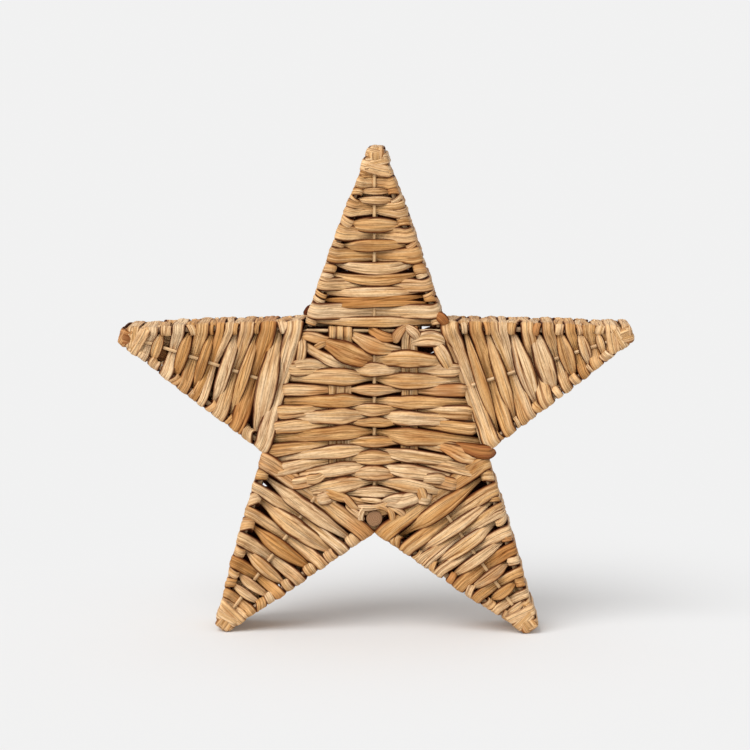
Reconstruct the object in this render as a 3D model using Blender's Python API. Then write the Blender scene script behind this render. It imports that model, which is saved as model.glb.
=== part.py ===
"""A five-pointed star woven from dried leaf over a thin wire frame, standing on its two lower tips.

Run with: blender --background --python part.py
Metres, +Z up. X runs across the star, Y through its thickness with the front face at -Y.
The origin is on the ground, midway between the two feet.
"""

import math

import bmesh
import bpy
from mathutils import Vector

# The star, seen from the front
CENTRE_HEIGHT = 0.152
ARMS = 5
TIP_HALF_ANGLE = math.radians(19.1)
EDGE_FROM_CENTRE = 0.0625
# The ring's sides are this far from the centre, but its top side lies lower
RING_EDGE = 0.065
RING_TOP = 0.0595
TIP_BEND = 0.0043
CORNER_BEND = 0.004

# Through the thickness: the front and back frames lie at -/+ this
FRAME_HALF_DEPTH = 0.020

# Wires, leaf and the clearance between touching pieces
ARM_WIRE_RADIUS = 0.00175
RING_WIRE_RADIUS = 0.00125
SPOKE_RADIUS = 0.0012
LEAF_THICKNESS = 0.0028
CLEARANCE = 0.00035
# A strand's width as shares of the distance between strands: tucked under, level, and on top
NARROW, LEVEL, WIDE = 0.60, 0.86, 1.24
PEG_RADIUS = 0.0059
PEG_HALF_LENGTH = 0.0242
PEG_SIDES = 16
PEG_RIM = 0.0006

# The arms' windings
CAP_LENGTH = 0.020
CAP_ROUNDING = 0.0022
WINDING_TURNS = 12
WINDING_END = 0.0714
# The top arm reaches further in, down to the ring's lower top side
TOP_WINDING_END = 0.0641
TOP_ARM_BASE = 0.0624
# The first turn begins this share of a turn below the cap
FIRST_TURN_DROP = 0.7
ARM_SPOKE_OUTER_END = 0.172

# The weave in the middle
ROWS = 18
FIRST_ROW = 0.0534
LAST_ROW = -0.0602
BAND_WARP_PLACE = 0.0247
BAND_WARP_WIDTH = 0.012
BAND_WARP_THICKNESS = 0.0016
BAND_WARP_END = -0.048
BAND_WARP_BEVEL = 0.3 * BAND_WARP_THICKNESS

# A strand turns a corner in two folds: their places as shares of its offset from the wire, and
# how much the outward side there faces the lesser and the greater way
FOLD = math.tan(math.radians(22.5))
FOLD_WEIGHT = (math.sin(math.radians(22.5)), math.cos(math.radians(22.5)))
# A strand that dips under the spoke stands a little further off the wires it comes from
UNDER_LIFT = 1.18
# A row comes to the ring's wire on a slant, so it stands a little further off it
RING_LIFT = 1.15
# A strand is cut square where its fold line would slant more than this
LEAST_SLANT = 0.2

# Straight pieces in a tip's round outline and in a corner bend of the ring
TIP_STEPS = 6
CORNER_STEPS = 2
# An arm that points down this steeply stands on the floor
FOOT_SLOPE = -0.5
FLOOR_BLOCK = 0.5
# Two points this close in height are level
LEVEL_WITHIN = 0.0001

# Worked out from the sizes above
WIRE_APEX = EDGE_FROM_CENTRE / math.sin(TIP_HALF_ANGLE)
LEAF_OFFSET = ARM_WIRE_RADIUS + CLEARANCE + LEAF_THICKNESS / 2
LEAF_OUTSIDE = ARM_WIRE_RADIUS + CLEARANCE + LEAF_THICKNESS
RING_LEAF_OFFSET = RING_LIFT * (RING_WIRE_RADIUS + CLEARANCE + LEAF_THICKNESS / 2)
SIDE_ARM_BASE = RING_EDGE + RING_LEAF_OFFSET + LEAF_THICKNESS / 2 + 2 * CLEARANCE
WEAVE_TOP = RING_TOP - RING_WIRE_RADIUS - CLEARANCE
UNDER_SPOKE = SPOKE_RADIUS + CLEARANCE + LEAF_THICKNESS / 2
OVER_BAND = BAND_WARP_THICKNESS / 2 + CLEARANCE + LEAF_THICKNESS / 2
PEG_BEND = PEG_RADIUS + CLEARANCE + RING_WIRE_RADIUS
PEG_FROM_CENTRE = (RING_EDGE - PEG_BEND) / math.cos(math.pi / ARMS)
TIP_ARC_CENTRE = WIRE_APEX - TIP_BEND / math.sin(TIP_HALF_ANGLE)
TIP_REACH = TIP_ARC_CENTRE + TIP_BEND + LEAF_OUTSIDE
CAP_START = TIP_REACH - CAP_LENGTH

FRONT = -1
BACK = 1
SIDES = {"front": FRONT, "back": BACK}
ARM_NAMES = ("top", "left", "lower_left", "lower_right", "right")
TOP_ARM = 0
# Corners of the middle, counted anticlockwise from the one between the top and left arms
TOP_CORNERS = (0, 4)
BOTTOM_CORNER = 2
RIGHT_CORNER = 3


def is_level(edge):
    """Whether an edge's two ends are at one height."""
    return abs(edge.verts[0].co.z - edge.verts[1].co.z) < LEVEL_WITHIN


def tip_angle(arm):
    """The direction of an arm's tip, anticlockwise from +X as seen from the front."""
    return math.radians(90 + arm * 360 / ARMS)


def corner_angle(corner):
    """The direction of a corner of the middle, between arm number corner and the next."""
    return tip_angle(corner) + math.pi / ARMS


def point_at(angle, along, across, depth):
    """The point this far along and across a direction from the star's centre, and this deep."""
    x = along * math.cos(angle) - across * math.sin(angle)
    z = along * math.sin(angle) + across * math.cos(angle)
    return Vector((x, depth, z + CENTRE_HEIGHT))


def turned(angle, along, across, depth):
    """The same as a direction."""
    x = along * math.cos(angle) - across * math.sin(angle)
    z = along * math.sin(angle) + across * math.cos(angle)
    return Vector((x, depth, z)).normalized()


def clear_scene():
    for obj in list(bpy.data.objects):
        bpy.data.objects.remove(obj)


def make_material(name, colour, roughness, metallic=0.0):
    material = bpy.data.materials.new(name)
    material.use_nodes = True
    shader = material.node_tree.nodes["Principled BSDF"]
    shader.inputs["Base Color"].default_value = (*colour, 1.0)
    shader.inputs["Roughness"].default_value = roughness
    shader.inputs["Metallic"].default_value = metallic
    material.diffuse_color = (*colour, 1.0)
    return material


def add_mesh(name, bm, material):
    bmesh.ops.recalc_face_normals(bm, faces=bm.faces)
    mesh = bpy.data.meshes.new(name)
    bm.to_mesh(mesh)
    bm.free()
    mesh.materials.append(material)
    obj = bpy.data.objects.new(name, mesh)
    bpy.context.scene.collection.objects.link(obj)
    return obj


def add_rod(name, points, radius, material, closed=False):
    """A round wire or rod along these points."""
    curve = bpy.data.curves.new(name, "CURVE")
    curve.dimensions = "3D"
    curve.bevel_depth = radius
    curve.bevel_resolution = 1
    curve.use_fill_caps = not closed
    spline = curve.splines.new("POLY")
    spline.points.add(len(points) - 1)
    for place, point in zip(spline.points, points):
        place.co = (*point, 1.0)
    spline.use_cyclic_u = closed
    curve.materials.append(material)
    obj = bpy.data.objects.new(name, curve)
    bpy.context.scene.collection.objects.link(obj)
    return obj


def add_strand(name, stations, material):
    """One flat strand of leaf through stations of (centre, outward normal, width, fold line).

    Where a strand folds over a wire, its fold line runs along the wire. Elsewhere it is None, and
    the strand is cut square.
    """
    bm = bmesh.new()
    centres = [station[0] for station in stations]
    loops = []
    for number, (centre, normal, width, fold_line) in enumerate(stations):
        into = (centre - centres[max(number - 1, 0)]).normalized()
        out = (centres[min(number + 1, len(centres) - 1)] - centre).normalized()
        along = (into + out).normalized()
        across = along.cross(normal).normalized()
        if fold_line is not None:
            # the width is measured square to the strand, and the fold line is slanted
            slant = across.dot(fold_line)
            across = fold_line / slant if abs(slant) > LEAST_SLANT else across
        half_across = across * width / 2
        up = normal * LEAF_THICKNESS / 2
        corners = (
            centre - half_across - up,
            centre + half_across - up,
            centre + half_across + up,
            centre - half_across + up,
        )
        loops.append([bm.verts.new(corner) for corner in corners])
    for first, second in zip(loops, loops[1:]):
        for a, b in zip(range(4), (1, 2, 3, 0)):
            bm.faces.new((first[a], first[b], second[b], second[a]))
    bm.faces.new(loops[0])
    bm.faces.new(loops[-1])
    return add_mesh(name, bm, material)


def wire_half_width(along):
    """Half the distance between an arm's two wires, this far from the centre."""
    return math.tan(TIP_HALF_ANGLE) * (WIRE_APEX - along)


def arm_base(arm):
    """How far from the centre an arm's wires and spokes begin."""
    return TOP_ARM_BASE if arm == TOP_ARM else SIDE_ARM_BASE


def wedge_outline(offset, base):
    """The arm's outline this far outside its wires, from its base round the tip, as (along, across)."""
    radius = TIP_BEND + offset
    base_across = wire_half_width(base) + offset / math.cos(TIP_HALF_ANGLE)
    outline = [(base, -base_across)]
    sweep = math.pi / 2 - TIP_HALF_ANGLE
    for step in range(TIP_STEPS + 1):
        angle = sweep * (2 * step / TIP_STEPS - 1)
        outline.append((TIP_ARC_CENTRE + radius * math.cos(angle), radius * math.sin(angle)))
    outline.append((base, base_across))
    return outline


def add_arm_wire(arm, side_name, material):
    """The bent wire at one face of an arm, from one corner of the middle round the tip to the next."""
    depth = SIDES[side_name] * FRAME_HALF_DEPTH
    points = [
        point_at(tip_angle(arm), along, across, depth)
        for along, across in wedge_outline(0, arm_base(arm))
    ]
    return add_rod(f"arm_wire_{side_name}_{ARM_NAMES[arm]}", points, ARM_WIRE_RADIUS, material)


def add_arm_spoke(arm, side_name, material):
    """The thin rod down the middle of an arm's face, which the strands pass over and under."""
    depth = SIDES[side_name] * FRAME_HALF_DEPTH
    reach = (arm_base(arm), ARM_SPOKE_OUTER_END)
    ends = [point_at(tip_angle(arm), along, 0, depth) for along in reach]
    return add_rod(f"arm_spoke_{side_name}_{ARM_NAMES[arm]}", ends, SPOKE_RADIUS, material)


def add_winding(arm, material):
    """One long strand wound round an arm, over and under the spoke of each face in turn."""
    angle = tip_angle(arm)
    end = TOP_WINDING_END if arm == TOP_ARM else WINDING_END
    pitch = (CAP_START - CLEARANCE - end) / WINDING_TURNS
    narrow, level, wide = NARROW * pitch, LEVEL * pitch, WIDE * pitch
    slope = (math.sin(TIP_HALF_ANGLE), math.cos(TIP_HALF_ANGLE))
    stations = []
    for turn in range(WINDING_TURNS - 1):
        over = turn % 2 == 0
        at_spoke = wide if over else narrow
        at_wire = narrow if over else wide
        start = CAP_START - CLEARANCE - pitch * (turn + FIRST_TURN_DROP)
        half = wire_half_width(start)
        face_length = 2 * half + 2 * FRAME_HALF_DEPTH
        for face, begun in ((FRONT, 0), (BACK, face_length)):
            for side, passed in ((face, 0), (0, half), (-face, 2 * half)):
                along = start - pitch * (begun + passed) / (2 * face_length)
                if side == 0:
                    depth = face * (FRAME_HALF_DEPTH + (LEAF_OFFSET if over else -UNDER_SPOKE))
                    centre = point_at(angle, along, 0, depth)
                    stations.append((centre, Vector((0, face, 0)), at_spoke, None))
                    continue
                wire = wire_half_width(along)
                fold_line = turned(angle, -slope[1], side * slope[0], 0)
                folds = [(1, FOLD, level), (FOLD, 1 if over else UNDER_LIFT, at_wire)]
                for outward, forward, width in folds if side == face else reversed(folds):
                    out = outward * LEAF_OFFSET
                    depth = face * (FRAME_HALF_DEPTH + forward * LEAF_OFFSET)
                    across = side * (wire + out * slope[1])
                    centre = point_at(angle, along + out * slope[0], across, depth)
                    sideways = FOLD_WEIGHT[outward > forward]
                    facing = FOLD_WEIGHT[forward > outward]
                    normal = turned(
                        angle, slope[0] * sideways, side * slope[1] * sideways, face * facing
                    )
                    stations.append((centre, normal, width, fold_line))
    return add_strand(f"arm_winding_{ARM_NAMES[arm]}", stations, material)


def wedge(angle, offset, base, half_depth):
    """A solid wedge with the arm's outline, as a bmesh."""
    bm = bmesh.new()
    face = bm.faces.new(
        bm.verts.new(point_at(angle, along, across, -half_depth))
        for along, across in wedge_outline(offset, base)
    )
    pulled = bmesh.ops.extrude_face_region(bm, geom=[face])
    moved = [part for part in pulled["geom"] if isinstance(part, bmesh.types.BMVert)]
    bmesh.ops.translate(bm, verts=moved, vec=(0, 2 * half_depth, 0))
    bmesh.ops.recalc_face_normals(bm, faces=bm.faces)
    return bm


def cut_away(obj, cutter):
    """Takes the cutter's shape out of an object."""
    cutter.hide_render = True
    cutter.display_type = "WIRE"
    cut = obj.modifiers.new(cutter.name, "BOOLEAN")
    cut.object = cutter
    cut.operation = "DIFFERENCE"
    cut.solver = "EXACT"


def add_tip_cap(arm, material, floor):
    """The tight leaf wrap that closes an arm's tip, hollow round the wires and open to the arm."""
    angle = tip_angle(arm)
    arm_line = turned(angle, 1, 0, 0)
    star_centre = point_at(angle, 0, 0, 0)
    outer = wedge(angle, LEAF_OUTSIDE, CAP_START, FRAME_HALF_DEPTH + LEAF_OUTSIDE)
    rim = []
    for edge in outer.edges:
        first, second = (vert.co - star_centre for vert in edge.verts)
        past_base = max(first.dot(arm_line), second.dot(arm_line)) > CAP_START + CLEARANCE
        if past_base and abs(first.y - second.y) < CLEARANCE:
            rim.append(edge)
    bmesh.ops.bevel(
        outer, geom=rim, offset=CAP_ROUNDING, offset_type="OFFSET", segments=1, affect="EDGES"
    )
    cap = add_mesh(f"tip_cap_{ARM_NAMES[arm]}", outer, material)
    inside = ARM_WIRE_RADIUS + CLEARANCE
    past_the_end = CAP_START - CAP_LENGTH / 2
    hollow = wedge(angle, inside, past_the_end, FRAME_HALF_DEPTH + inside)
    cut_away(cap, add_mesh(f"tip_hollow_{ARM_NAMES[arm]}", hollow, material))
    if math.sin(angle) < FOOT_SLOPE:
        cut_away(cap, floor)
    return cap


def bend_centre(corner, bend):
    """The centre of the bend at one of the ring's corners, as (x, height above the centre)."""
    if corner in TOP_CORNERS:
        # where the lowered top side meets the next side, both set in by the bend
        height = RING_TOP - bend
        slope = corner_angle(TOP_CORNERS[1]) - math.pi / ARMS
        across = (RING_EDGE - bend - height * math.sin(slope)) / math.cos(slope)
        return math.copysign(across, math.cos(corner_angle(corner))), height
    reach = (RING_EDGE - bend) / math.cos(math.pi / ARMS)
    angle = corner_angle(corner)
    return reach * math.cos(angle), reach * math.sin(angle)


def add_ring(side_name, material):
    """The five-sided wire round the middle of one face, bent round the peg at the bottom."""
    depth = SIDES[side_name] * FRAME_HALF_DEPTH
    points = []
    for corner in range(ARMS):
        bend = PEG_BEND if corner == BOTTOM_CORNER else CORNER_BEND
        x, height = bend_centre(corner, bend)
        for step in range(CORNER_STEPS + 1):
            angle = corner_angle(corner) + math.pi / ARMS * (2 * step / CORNER_STEPS - 1)
            place = (x + bend * math.cos(angle), depth, CENTRE_HEIGHT + height + bend * math.sin(angle))
            points.append(Vector(place))
    return add_rod(f"middle_ring_{side_name}", points, RING_WIRE_RADIUS, material, closed=True)


def add_peg(material):
    """The cut round stick that joins the two rings at the bottom corner of the middle."""
    bm = bmesh.new()
    bmesh.ops.create_cone(
        bm,
        cap_ends=True,
        segments=PEG_SIDES,
        radius1=PEG_RADIUS,
        radius2=PEG_RADIUS,
        depth=2 * PEG_HALF_LENGTH,
    )
    rims = [edge for edge in bm.edges if is_level(edge)]
    bmesh.ops.bevel(bm, geom=rims, offset=PEG_RIM, segments=1, affect="EDGES")
    peg = add_mesh("corner_peg", bm, material)
    peg.rotation_euler = (math.pi / 2, 0, 0)
    peg.location = point_at(corner_angle(BOTTOM_CORNER), PEG_FROM_CENTRE, 0, 0)
    return peg


def add_band_warp(side_name, hand, place, material):
    """A flat upright band of the middle, which the rows pass over and under."""
    length = WEAVE_TOP - BAND_WARP_END
    bm = bmesh.new()
    bmesh.ops.create_cube(bm, size=1)
    bmesh.ops.scale(bm, verts=bm.verts, vec=(BAND_WARP_WIDTH, BAND_WARP_THICKNESS, length))
    upright = [edge for edge in bm.edges if not is_level(edge)]
    bmesh.ops.bevel(bm, geom=upright, offset=BAND_WARP_BEVEL, segments=1, affect="EDGES")
    band = add_mesh(f"band_warp_{side_name}_{hand}", bm, material)
    band.location = (
        place,
        SIDES[side_name] * FRAME_HALF_DEPTH,
        CENTRE_HEIGHT + WEAVE_TOP - length / 2,
    )
    return band


def add_middle_spoke(side_name, material):
    """The thin upright rod in the centre of the middle, from the ring's top down to the peg."""
    depth = SIDES[side_name] * FRAME_HALF_DEPTH
    bottom = -(PEG_FROM_CENTRE - PEG_RADIUS - CLEARANCE)
    ends = [Vector((0, depth, CENTRE_HEIGHT + height)) for height in (WEAVE_TOP, bottom)]
    return add_rod(f"middle_spoke_{side_name}", ends, SPOKE_RADIUS, material)


def ring_side_angle(height):
    """The way the ring's right side faces at a height above the centre."""
    right_corner = corner_angle(RIGHT_CORNER) - 2 * math.pi
    corner_height = RING_EDGE / math.cos(math.pi / ARMS) * math.sin(right_corner)
    return right_corner + math.copysign(math.pi / ARMS, height - corner_height)


def add_weave(side_name, material):
    """The strand that weaves to and fro over one face of the middle, from the top row to the bottom."""
    face = SIDES[side_name]
    pitch = (FIRST_ROW - LAST_ROW) / (ROWS - 1)
    narrow, level_width, wide = NARROW * pitch, LEVEL * pitch, WIDE * pitch
    stations = []
    for row in range(ROWS):
        height = FIRST_ROW - row * pitch
        hand = 1 if row % 2 == 0 else -1
        over_bands = row % 2 == 0
        # the strand's outer side is the one that faces away from the wires it folds over
        away = -face if over_bands else face
        if over_bands:
            places = [(0, -UNDER_SPOKE, narrow)]
        else:
            places = [(0, UNDER_SPOKE, wide)]
        if height > BAND_WARP_END:
            depth = OVER_BAND if over_bands else -OVER_BAND
            width = wide if over_bands else narrow
            # each band takes two stations, so that the strand lies flat across it
            for edge in (-BAND_WARP_WIDTH / 2, BAND_WARP_WIDTH / 2):
                across = BAND_WARP_PLACE + edge
                places += [(-across, depth, width), (across, depth, width)]
        for across, depth, width in sorted(places, reverse=hand == -1):
            centre = Vector((across, face * (FRAME_HALF_DEPTH + depth), CENTRE_HEIGHT + height))
            stations.append((centre, Vector((0, away, 0)), width, None))
        if row == ROWS - 1:
            break
        # it goes round the ring's wire and comes back as the next row
        turn_way = -1 if over_bands else 1
        angle = ring_side_angle(height - pitch / 2)
        folds = ((FOLD, UNDER_LIFT), (1, FOLD), (1, -FOLD), (FOLD, -UNDER_LIFT))
        for step, (outward, forward) in enumerate(folds):
            lowered = height - pitch * step / 3
            wire = (RING_EDGE - lowered * math.sin(angle)) / math.cos(angle)
            out = outward * RING_LEAF_OFFSET
            depth = FRAME_HALF_DEPTH + turn_way * forward * RING_LEAF_OFFSET
            centre = Vector(
                (
                    hand * (wire + out * math.cos(angle)),
                    face * depth,
                    CENTRE_HEIGHT + lowered + out * math.sin(angle),
                )
            )
            sideways = FOLD_WEIGHT[outward > abs(forward)]
            facing = math.copysign(FOLD_WEIGHT[abs(forward) > outward], forward)
            normal = Vector(
                (
                    hand * math.cos(angle) * sideways,
                    face * turn_way * facing,
                    math.sin(angle) * sideways,
                )
            )
            fold_line = Vector((-hand * math.sin(angle), 0, math.cos(angle)))
            stations.append((centre, normal, level_width, fold_line))
    return add_strand(f"middle_weave_{side_name}", stations, material)


def main():
    clear_scene()
    leaf = make_material("dried_leaf", (0.53, 0.31, 0.14), 0.65)
    cap_leaf = make_material("tip_leaf", (0.56, 0.34, 0.16), 0.65)
    band_leaf = make_material("band_leaf", (0.50, 0.30, 0.14), 0.7)
    painted_wire = make_material("painted_wire", (0.62, 0.42, 0.24), 0.5)
    frame_wire = make_material("frame_wire", (0.30, 0.20, 0.12), 0.5, 0.6)
    wood = make_material("peg_wood", (0.36, 0.21, 0.11), 0.75)

    floor_mesh = bmesh.new()
    bmesh.ops.create_cube(floor_mesh, size=FLOOR_BLOCK)
    floor = add_mesh("floor_cutter", floor_mesh, wood)
    floor.location = (0, 0, -FLOOR_BLOCK / 2)
    bpy.context.view_layer.update()

    for side_name in SIDES:
        add_ring(side_name, painted_wire)
        add_middle_spoke(side_name, painted_wire)
        add_band_warp(side_name, "left", -BAND_WARP_PLACE, band_leaf)
        add_band_warp(side_name, "right", BAND_WARP_PLACE, band_leaf)
        add_weave(side_name, leaf)
        for arm in range(ARMS):
            add_arm_wire(arm, side_name, frame_wire)
            add_arm_spoke(arm, side_name, painted_wire)
    for arm in range(ARMS):
        add_winding(arm, leaf)
        add_tip_cap(arm, cap_leaf, floor)
    add_peg(wood)


main()
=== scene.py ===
# %% [markdown]
# # A five-pointed star woven from dried leaf
#
# The real star is a thin wire frame with two faces, front and back. A weaver winds flat strands
# of dried leaf round each arm, weaves others across the middle, and closes the tips with tight
# turns. This lesson lays every strand as its own solid ribbon and gives it a leaf's colour and
# fibre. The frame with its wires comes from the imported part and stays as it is.

# %% Load the frame
import math

import bpy
import numpy as np
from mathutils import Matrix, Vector


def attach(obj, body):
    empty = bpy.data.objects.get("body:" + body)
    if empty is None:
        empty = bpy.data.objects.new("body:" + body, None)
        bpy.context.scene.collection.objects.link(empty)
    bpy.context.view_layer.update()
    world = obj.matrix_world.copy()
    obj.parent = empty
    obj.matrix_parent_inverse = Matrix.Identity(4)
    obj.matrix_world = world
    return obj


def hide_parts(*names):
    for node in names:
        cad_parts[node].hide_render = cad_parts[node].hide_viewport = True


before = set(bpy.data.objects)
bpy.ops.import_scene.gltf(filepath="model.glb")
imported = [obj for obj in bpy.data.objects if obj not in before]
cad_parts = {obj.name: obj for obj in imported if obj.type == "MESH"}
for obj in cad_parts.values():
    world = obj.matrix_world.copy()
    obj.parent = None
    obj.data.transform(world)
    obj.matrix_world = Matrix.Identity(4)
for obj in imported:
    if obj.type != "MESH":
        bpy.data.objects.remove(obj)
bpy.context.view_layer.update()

# %% [markdown]
# ## The star's own measures
#
# Every strand lies on the wires, so its place is worked out from a few sizes of the frame: how
# far the wires are from the star's centre, how they run to the tips, and how deep the star is.
# Sizes are in millimetres, as a weaver would measure them, and a place is said as so far along an
# arm, so far across it and so far to the back. One function turns that into metres. The wires'
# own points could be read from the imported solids, but a lesson is easier to follow in few sizes.

# %% Sizes of the star, in millimetres
MM = 0.001
CENTRE_HEIGHT = 152.0
EDGE_FROM_CENTRE = 62.5
TIP_HALF_ANGLE = math.radians(19.1)
RING_FROM_CENTRE = 65.0
HALF_DEPTH = 20.0
WIRE, SPOKE = 1.75, 1.2
APEX = EDGE_FROM_CENTRE / math.sin(TIP_HALF_ANGLE)
ARM_NAMES = ("top", "left", "lower_left", "lower_right", "right")
ARM_ANGLES = {name: math.radians(90 + 72 * place) for place, name in enumerate(ARM_NAMES)}
FRONT, BACK = -1, 1
FACES = {"front": FRONT, "back": BACK}
print("an arm's two wires would meet", round(APEX, 1), "mm from the centre")

# %% [markdown]
# A hand-made star isn't quite even. Seen from the front, the leaf at its left tip hangs a little
# low, the right tip stands a little high, and the left foot is set in. The leaf is a few
# millimetres thick, so it can lean that much over wires that stay straight.

# %% Places on an arm
TIP_REACH = 187.0
LEAN_START = 60.0
LEANS = ((1.1, -0.6), (0.6, -1.3), (1.5, 0.0), (0.9, 0.0), (0.6, 1.0))
TIP_LEAN = {angle: lean for angle, lean in zip(ARM_ANGLES.values(), LEANS)}


def half_width(along):
    """Half the distance between an arm's two wires, this far from the star's centre."""
    return math.tan(TIP_HALF_ANGLE) * (APEX - along)


def on_arm(angle, along, across, y):
    """A place on an arm, in metres of the frame, bent by the arm's own lean towards its tip."""
    x = along * math.cos(angle) - across * math.sin(angle)
    z = along * math.sin(angle) + across * math.cos(angle)
    bent = (max(0.0, along - LEAN_START) / (TIP_REACH - LEAN_START)) ** 1.5
    lean_x, lean_z = TIP_LEAN[angle]
    return (x + lean_x * bent) * MM, y * MM, (z + lean_z * bent + CENTRE_HEIGHT) * MM


def arm_way(angle, along, across, y):
    """A direction said in the same way, one unit long."""
    way = Vector((along * math.cos(angle) - across * math.sin(angle), y, 0.0))
    way.z = along * math.sin(angle) + across * math.cos(angle)
    return tuple(way.normalized())


print("half way out an arm is", round(2 * half_width(130)), "mm wide")

# %% [markdown]
# ## The camera
#
# The photo looks a little down on the star from just right of its middle, through a long lens.
# A camera can be moved by hand until the picture fits, but then nobody knows why it stands there.
# This one aims at the point that the middle of the picture shows, just above the star's centre,
# and its lens is worked out from how much of the world fills the picture there.

# %% Camera
PICTURE_WIDTH = 0.5172
CAMERA_DISTANCE = 1.8
CAMERA_SIDE = 0.05
CAMERA_HEIGHT = 0.40
AIM = Vector((0.0004, -0.020, 0.1807))
SENSOR = 36.0

camera_data = bpy.data.cameras.new("camera")
camera_data.sensor_width = SENSOR
camera = bpy.data.objects.new("camera", camera_data)
camera.location = (CAMERA_SIDE, AIM.y - CAMERA_DISTANCE, CAMERA_HEIGHT)
looking = AIM - camera.location
camera_data.lens = SENSOR * looking.length / PICTURE_WIDTH
camera.rotation_euler = looking.to_track_quat("-Z", "Y").to_euler()
bpy.context.scene.collection.objects.link(camera)
bpy.context.scene.camera = camera
bpy.context.scene.view_settings.view_transform = "Standard"
print("lens", round(camera_data.lens), "mm")

# %% [markdown]
# ## Shader maths as expressions
#
# A node tree is a sum drawn as boxes. The class below wraps a socket, so that the sum can be
# written as a sum, and each operator adds the Math node that it stands for. Any other node comes
# from its one method, which takes the node's type, its settings and what goes into its sockets.

# %% The socket class
NOISE_ROUGHNESS = 0.55


class Shade:
    """An output socket that can be added to, multiplied and mixed."""

    def __init__(self, tree, socket=None):
        self.tree = tree
        self.socket = socket

    def node(self, kind, settings=None, inputs=None, output=0):
        """Adds a node, sets it, fills its sockets and returns one of its outputs."""
        made = self.tree.nodes.new(kind)
        for name, value in (settings or {}).items():
            setattr(made, name, value)
        for name, value in (inputs or {}).items():
            if isinstance(value, Shade):
                self.tree.links.new(value.socket, made.inputs[name])
            else:
                made.inputs[name].default_value = value
        return Shade(self.tree, made.outputs[output])

    def maths(self, operation, first, second):
        """One Math node on two values or links."""
        return self.node("ShaderNodeMath", {"operation": operation}, {0: first, 1: second})

    def __add__(self, other):
        return self.maths("ADD", self, other)

    def __sub__(self, other):
        return self.maths("SUBTRACT", self, other)

    def __rsub__(self, other):
        return self.maths("SUBTRACT", other, self)

    def __mul__(self, other):
        return self.maths("MULTIPLY", self, other)

    __radd__ = __add__
    __rmul__ = __mul__

    def step(self, low, high, start=0.0, end=1.0):
        """start below low, end above high, and a smooth change between them."""
        ends = {"Value": self, "From Min": low, "From Max": high, "To Min": start, "To Max": end}
        return self.node("ShaderNodeMapRange", {"interpolation_type": "SMOOTHSTEP"}, ends)

    def away_from(self, value):
        """How far this is from a value."""
        return self.node("ShaderNodeMath", {"operation": "ABSOLUTE"}, {0: self - value})

    def between(self, first, second):
        """The first colour where this share is 0, the second where it is 1."""
        return self.node("ShaderNodeMix", {"data_type": "RGBA"}, {0: self, 6: first, 7: second}, 2)

    def tint(self, share, colour):
        """This colour, with another one blended in by a share."""
        return share.between(self, colour)

    def stretched(self, scale):
        """This vector, with each of its parts multiplied by its own number."""
        return self.node("ShaderNodeVectorMath", {"operation": "MULTIPLY"}, {0: self, 1: scale})

    def noise(self, scale, detail):
        """Smooth noise over this vector, stretched by a scale for each of its parts."""
        inputs = {"Vector": self.stretched(scale), "Scale": 1.0, "Detail": detail}
        inputs["Roughness"] = NOISE_ROUGHNESS
        return self.node("ShaderNodeTexNoise", None, inputs)

    def part(self, place):
        """One of the three numbers of this vector."""
        return self.node("ShaderNodeSeparateXYZ", None, {0: self}, place)

    def into(self, node, name):
        """Links this output to a socket of a node that is there already."""
        self.tree.links.new(self.socket, node.inputs[name])


def new_material(name):
    """A material, an empty Shade to start its sums from, and its Principled shader."""
    material = bpy.data.materials.new(name)
    material.use_nodes = True
    return material, Shade(material.node_tree), material.node_tree.nodes["Principled BSDF"]


print("shader maths ready")

# %% [markdown]
# ## Dried leaf
#
# Each strand is a long leaf folded over lengthwise. Its fibres run along it as fine streaks, it
# dries from pale straw to brown, and here and there its sheath was orange. An image of leaf would
# show the same marks on every strand. So the strands below carry two mesh attributes instead:
# "fibre" says how far across and along the leaf a point lies, and on which strand, and the other
# holds the strand's own tone, its warmth and a painted shade: how dark the point is painted for its
# fold, its valleys, its underside and its edges. The material reads those, so the streaks follow
# each strand round every bend, and no two strands match.

# %% Leaf colours
CREAM = (0.96, 0.735, 0.475, 1.0)
STRAW = (0.86, 0.530, 0.238, 1.0)
TAN = (0.68, 0.340, 0.102, 1.0)
BROWN = (0.33, 0.108, 0.016, 1.0)
ORANGE = (0.62, 0.275, 0.085, 1.0)
RUST = (0.25, 0.066, 0.020, 1.0)
LEAF_COLOURS = (CREAM, STRAW, TAN, BROWN, ORANGE, RUST)
# How much of each part of the brown stays in the deepest painted shade.
PAINTED_SHADE_SHARES = (0.24, 0.11, 0.05)
print("a leaf has", len(LEAF_COLOURS), "colours")
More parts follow.
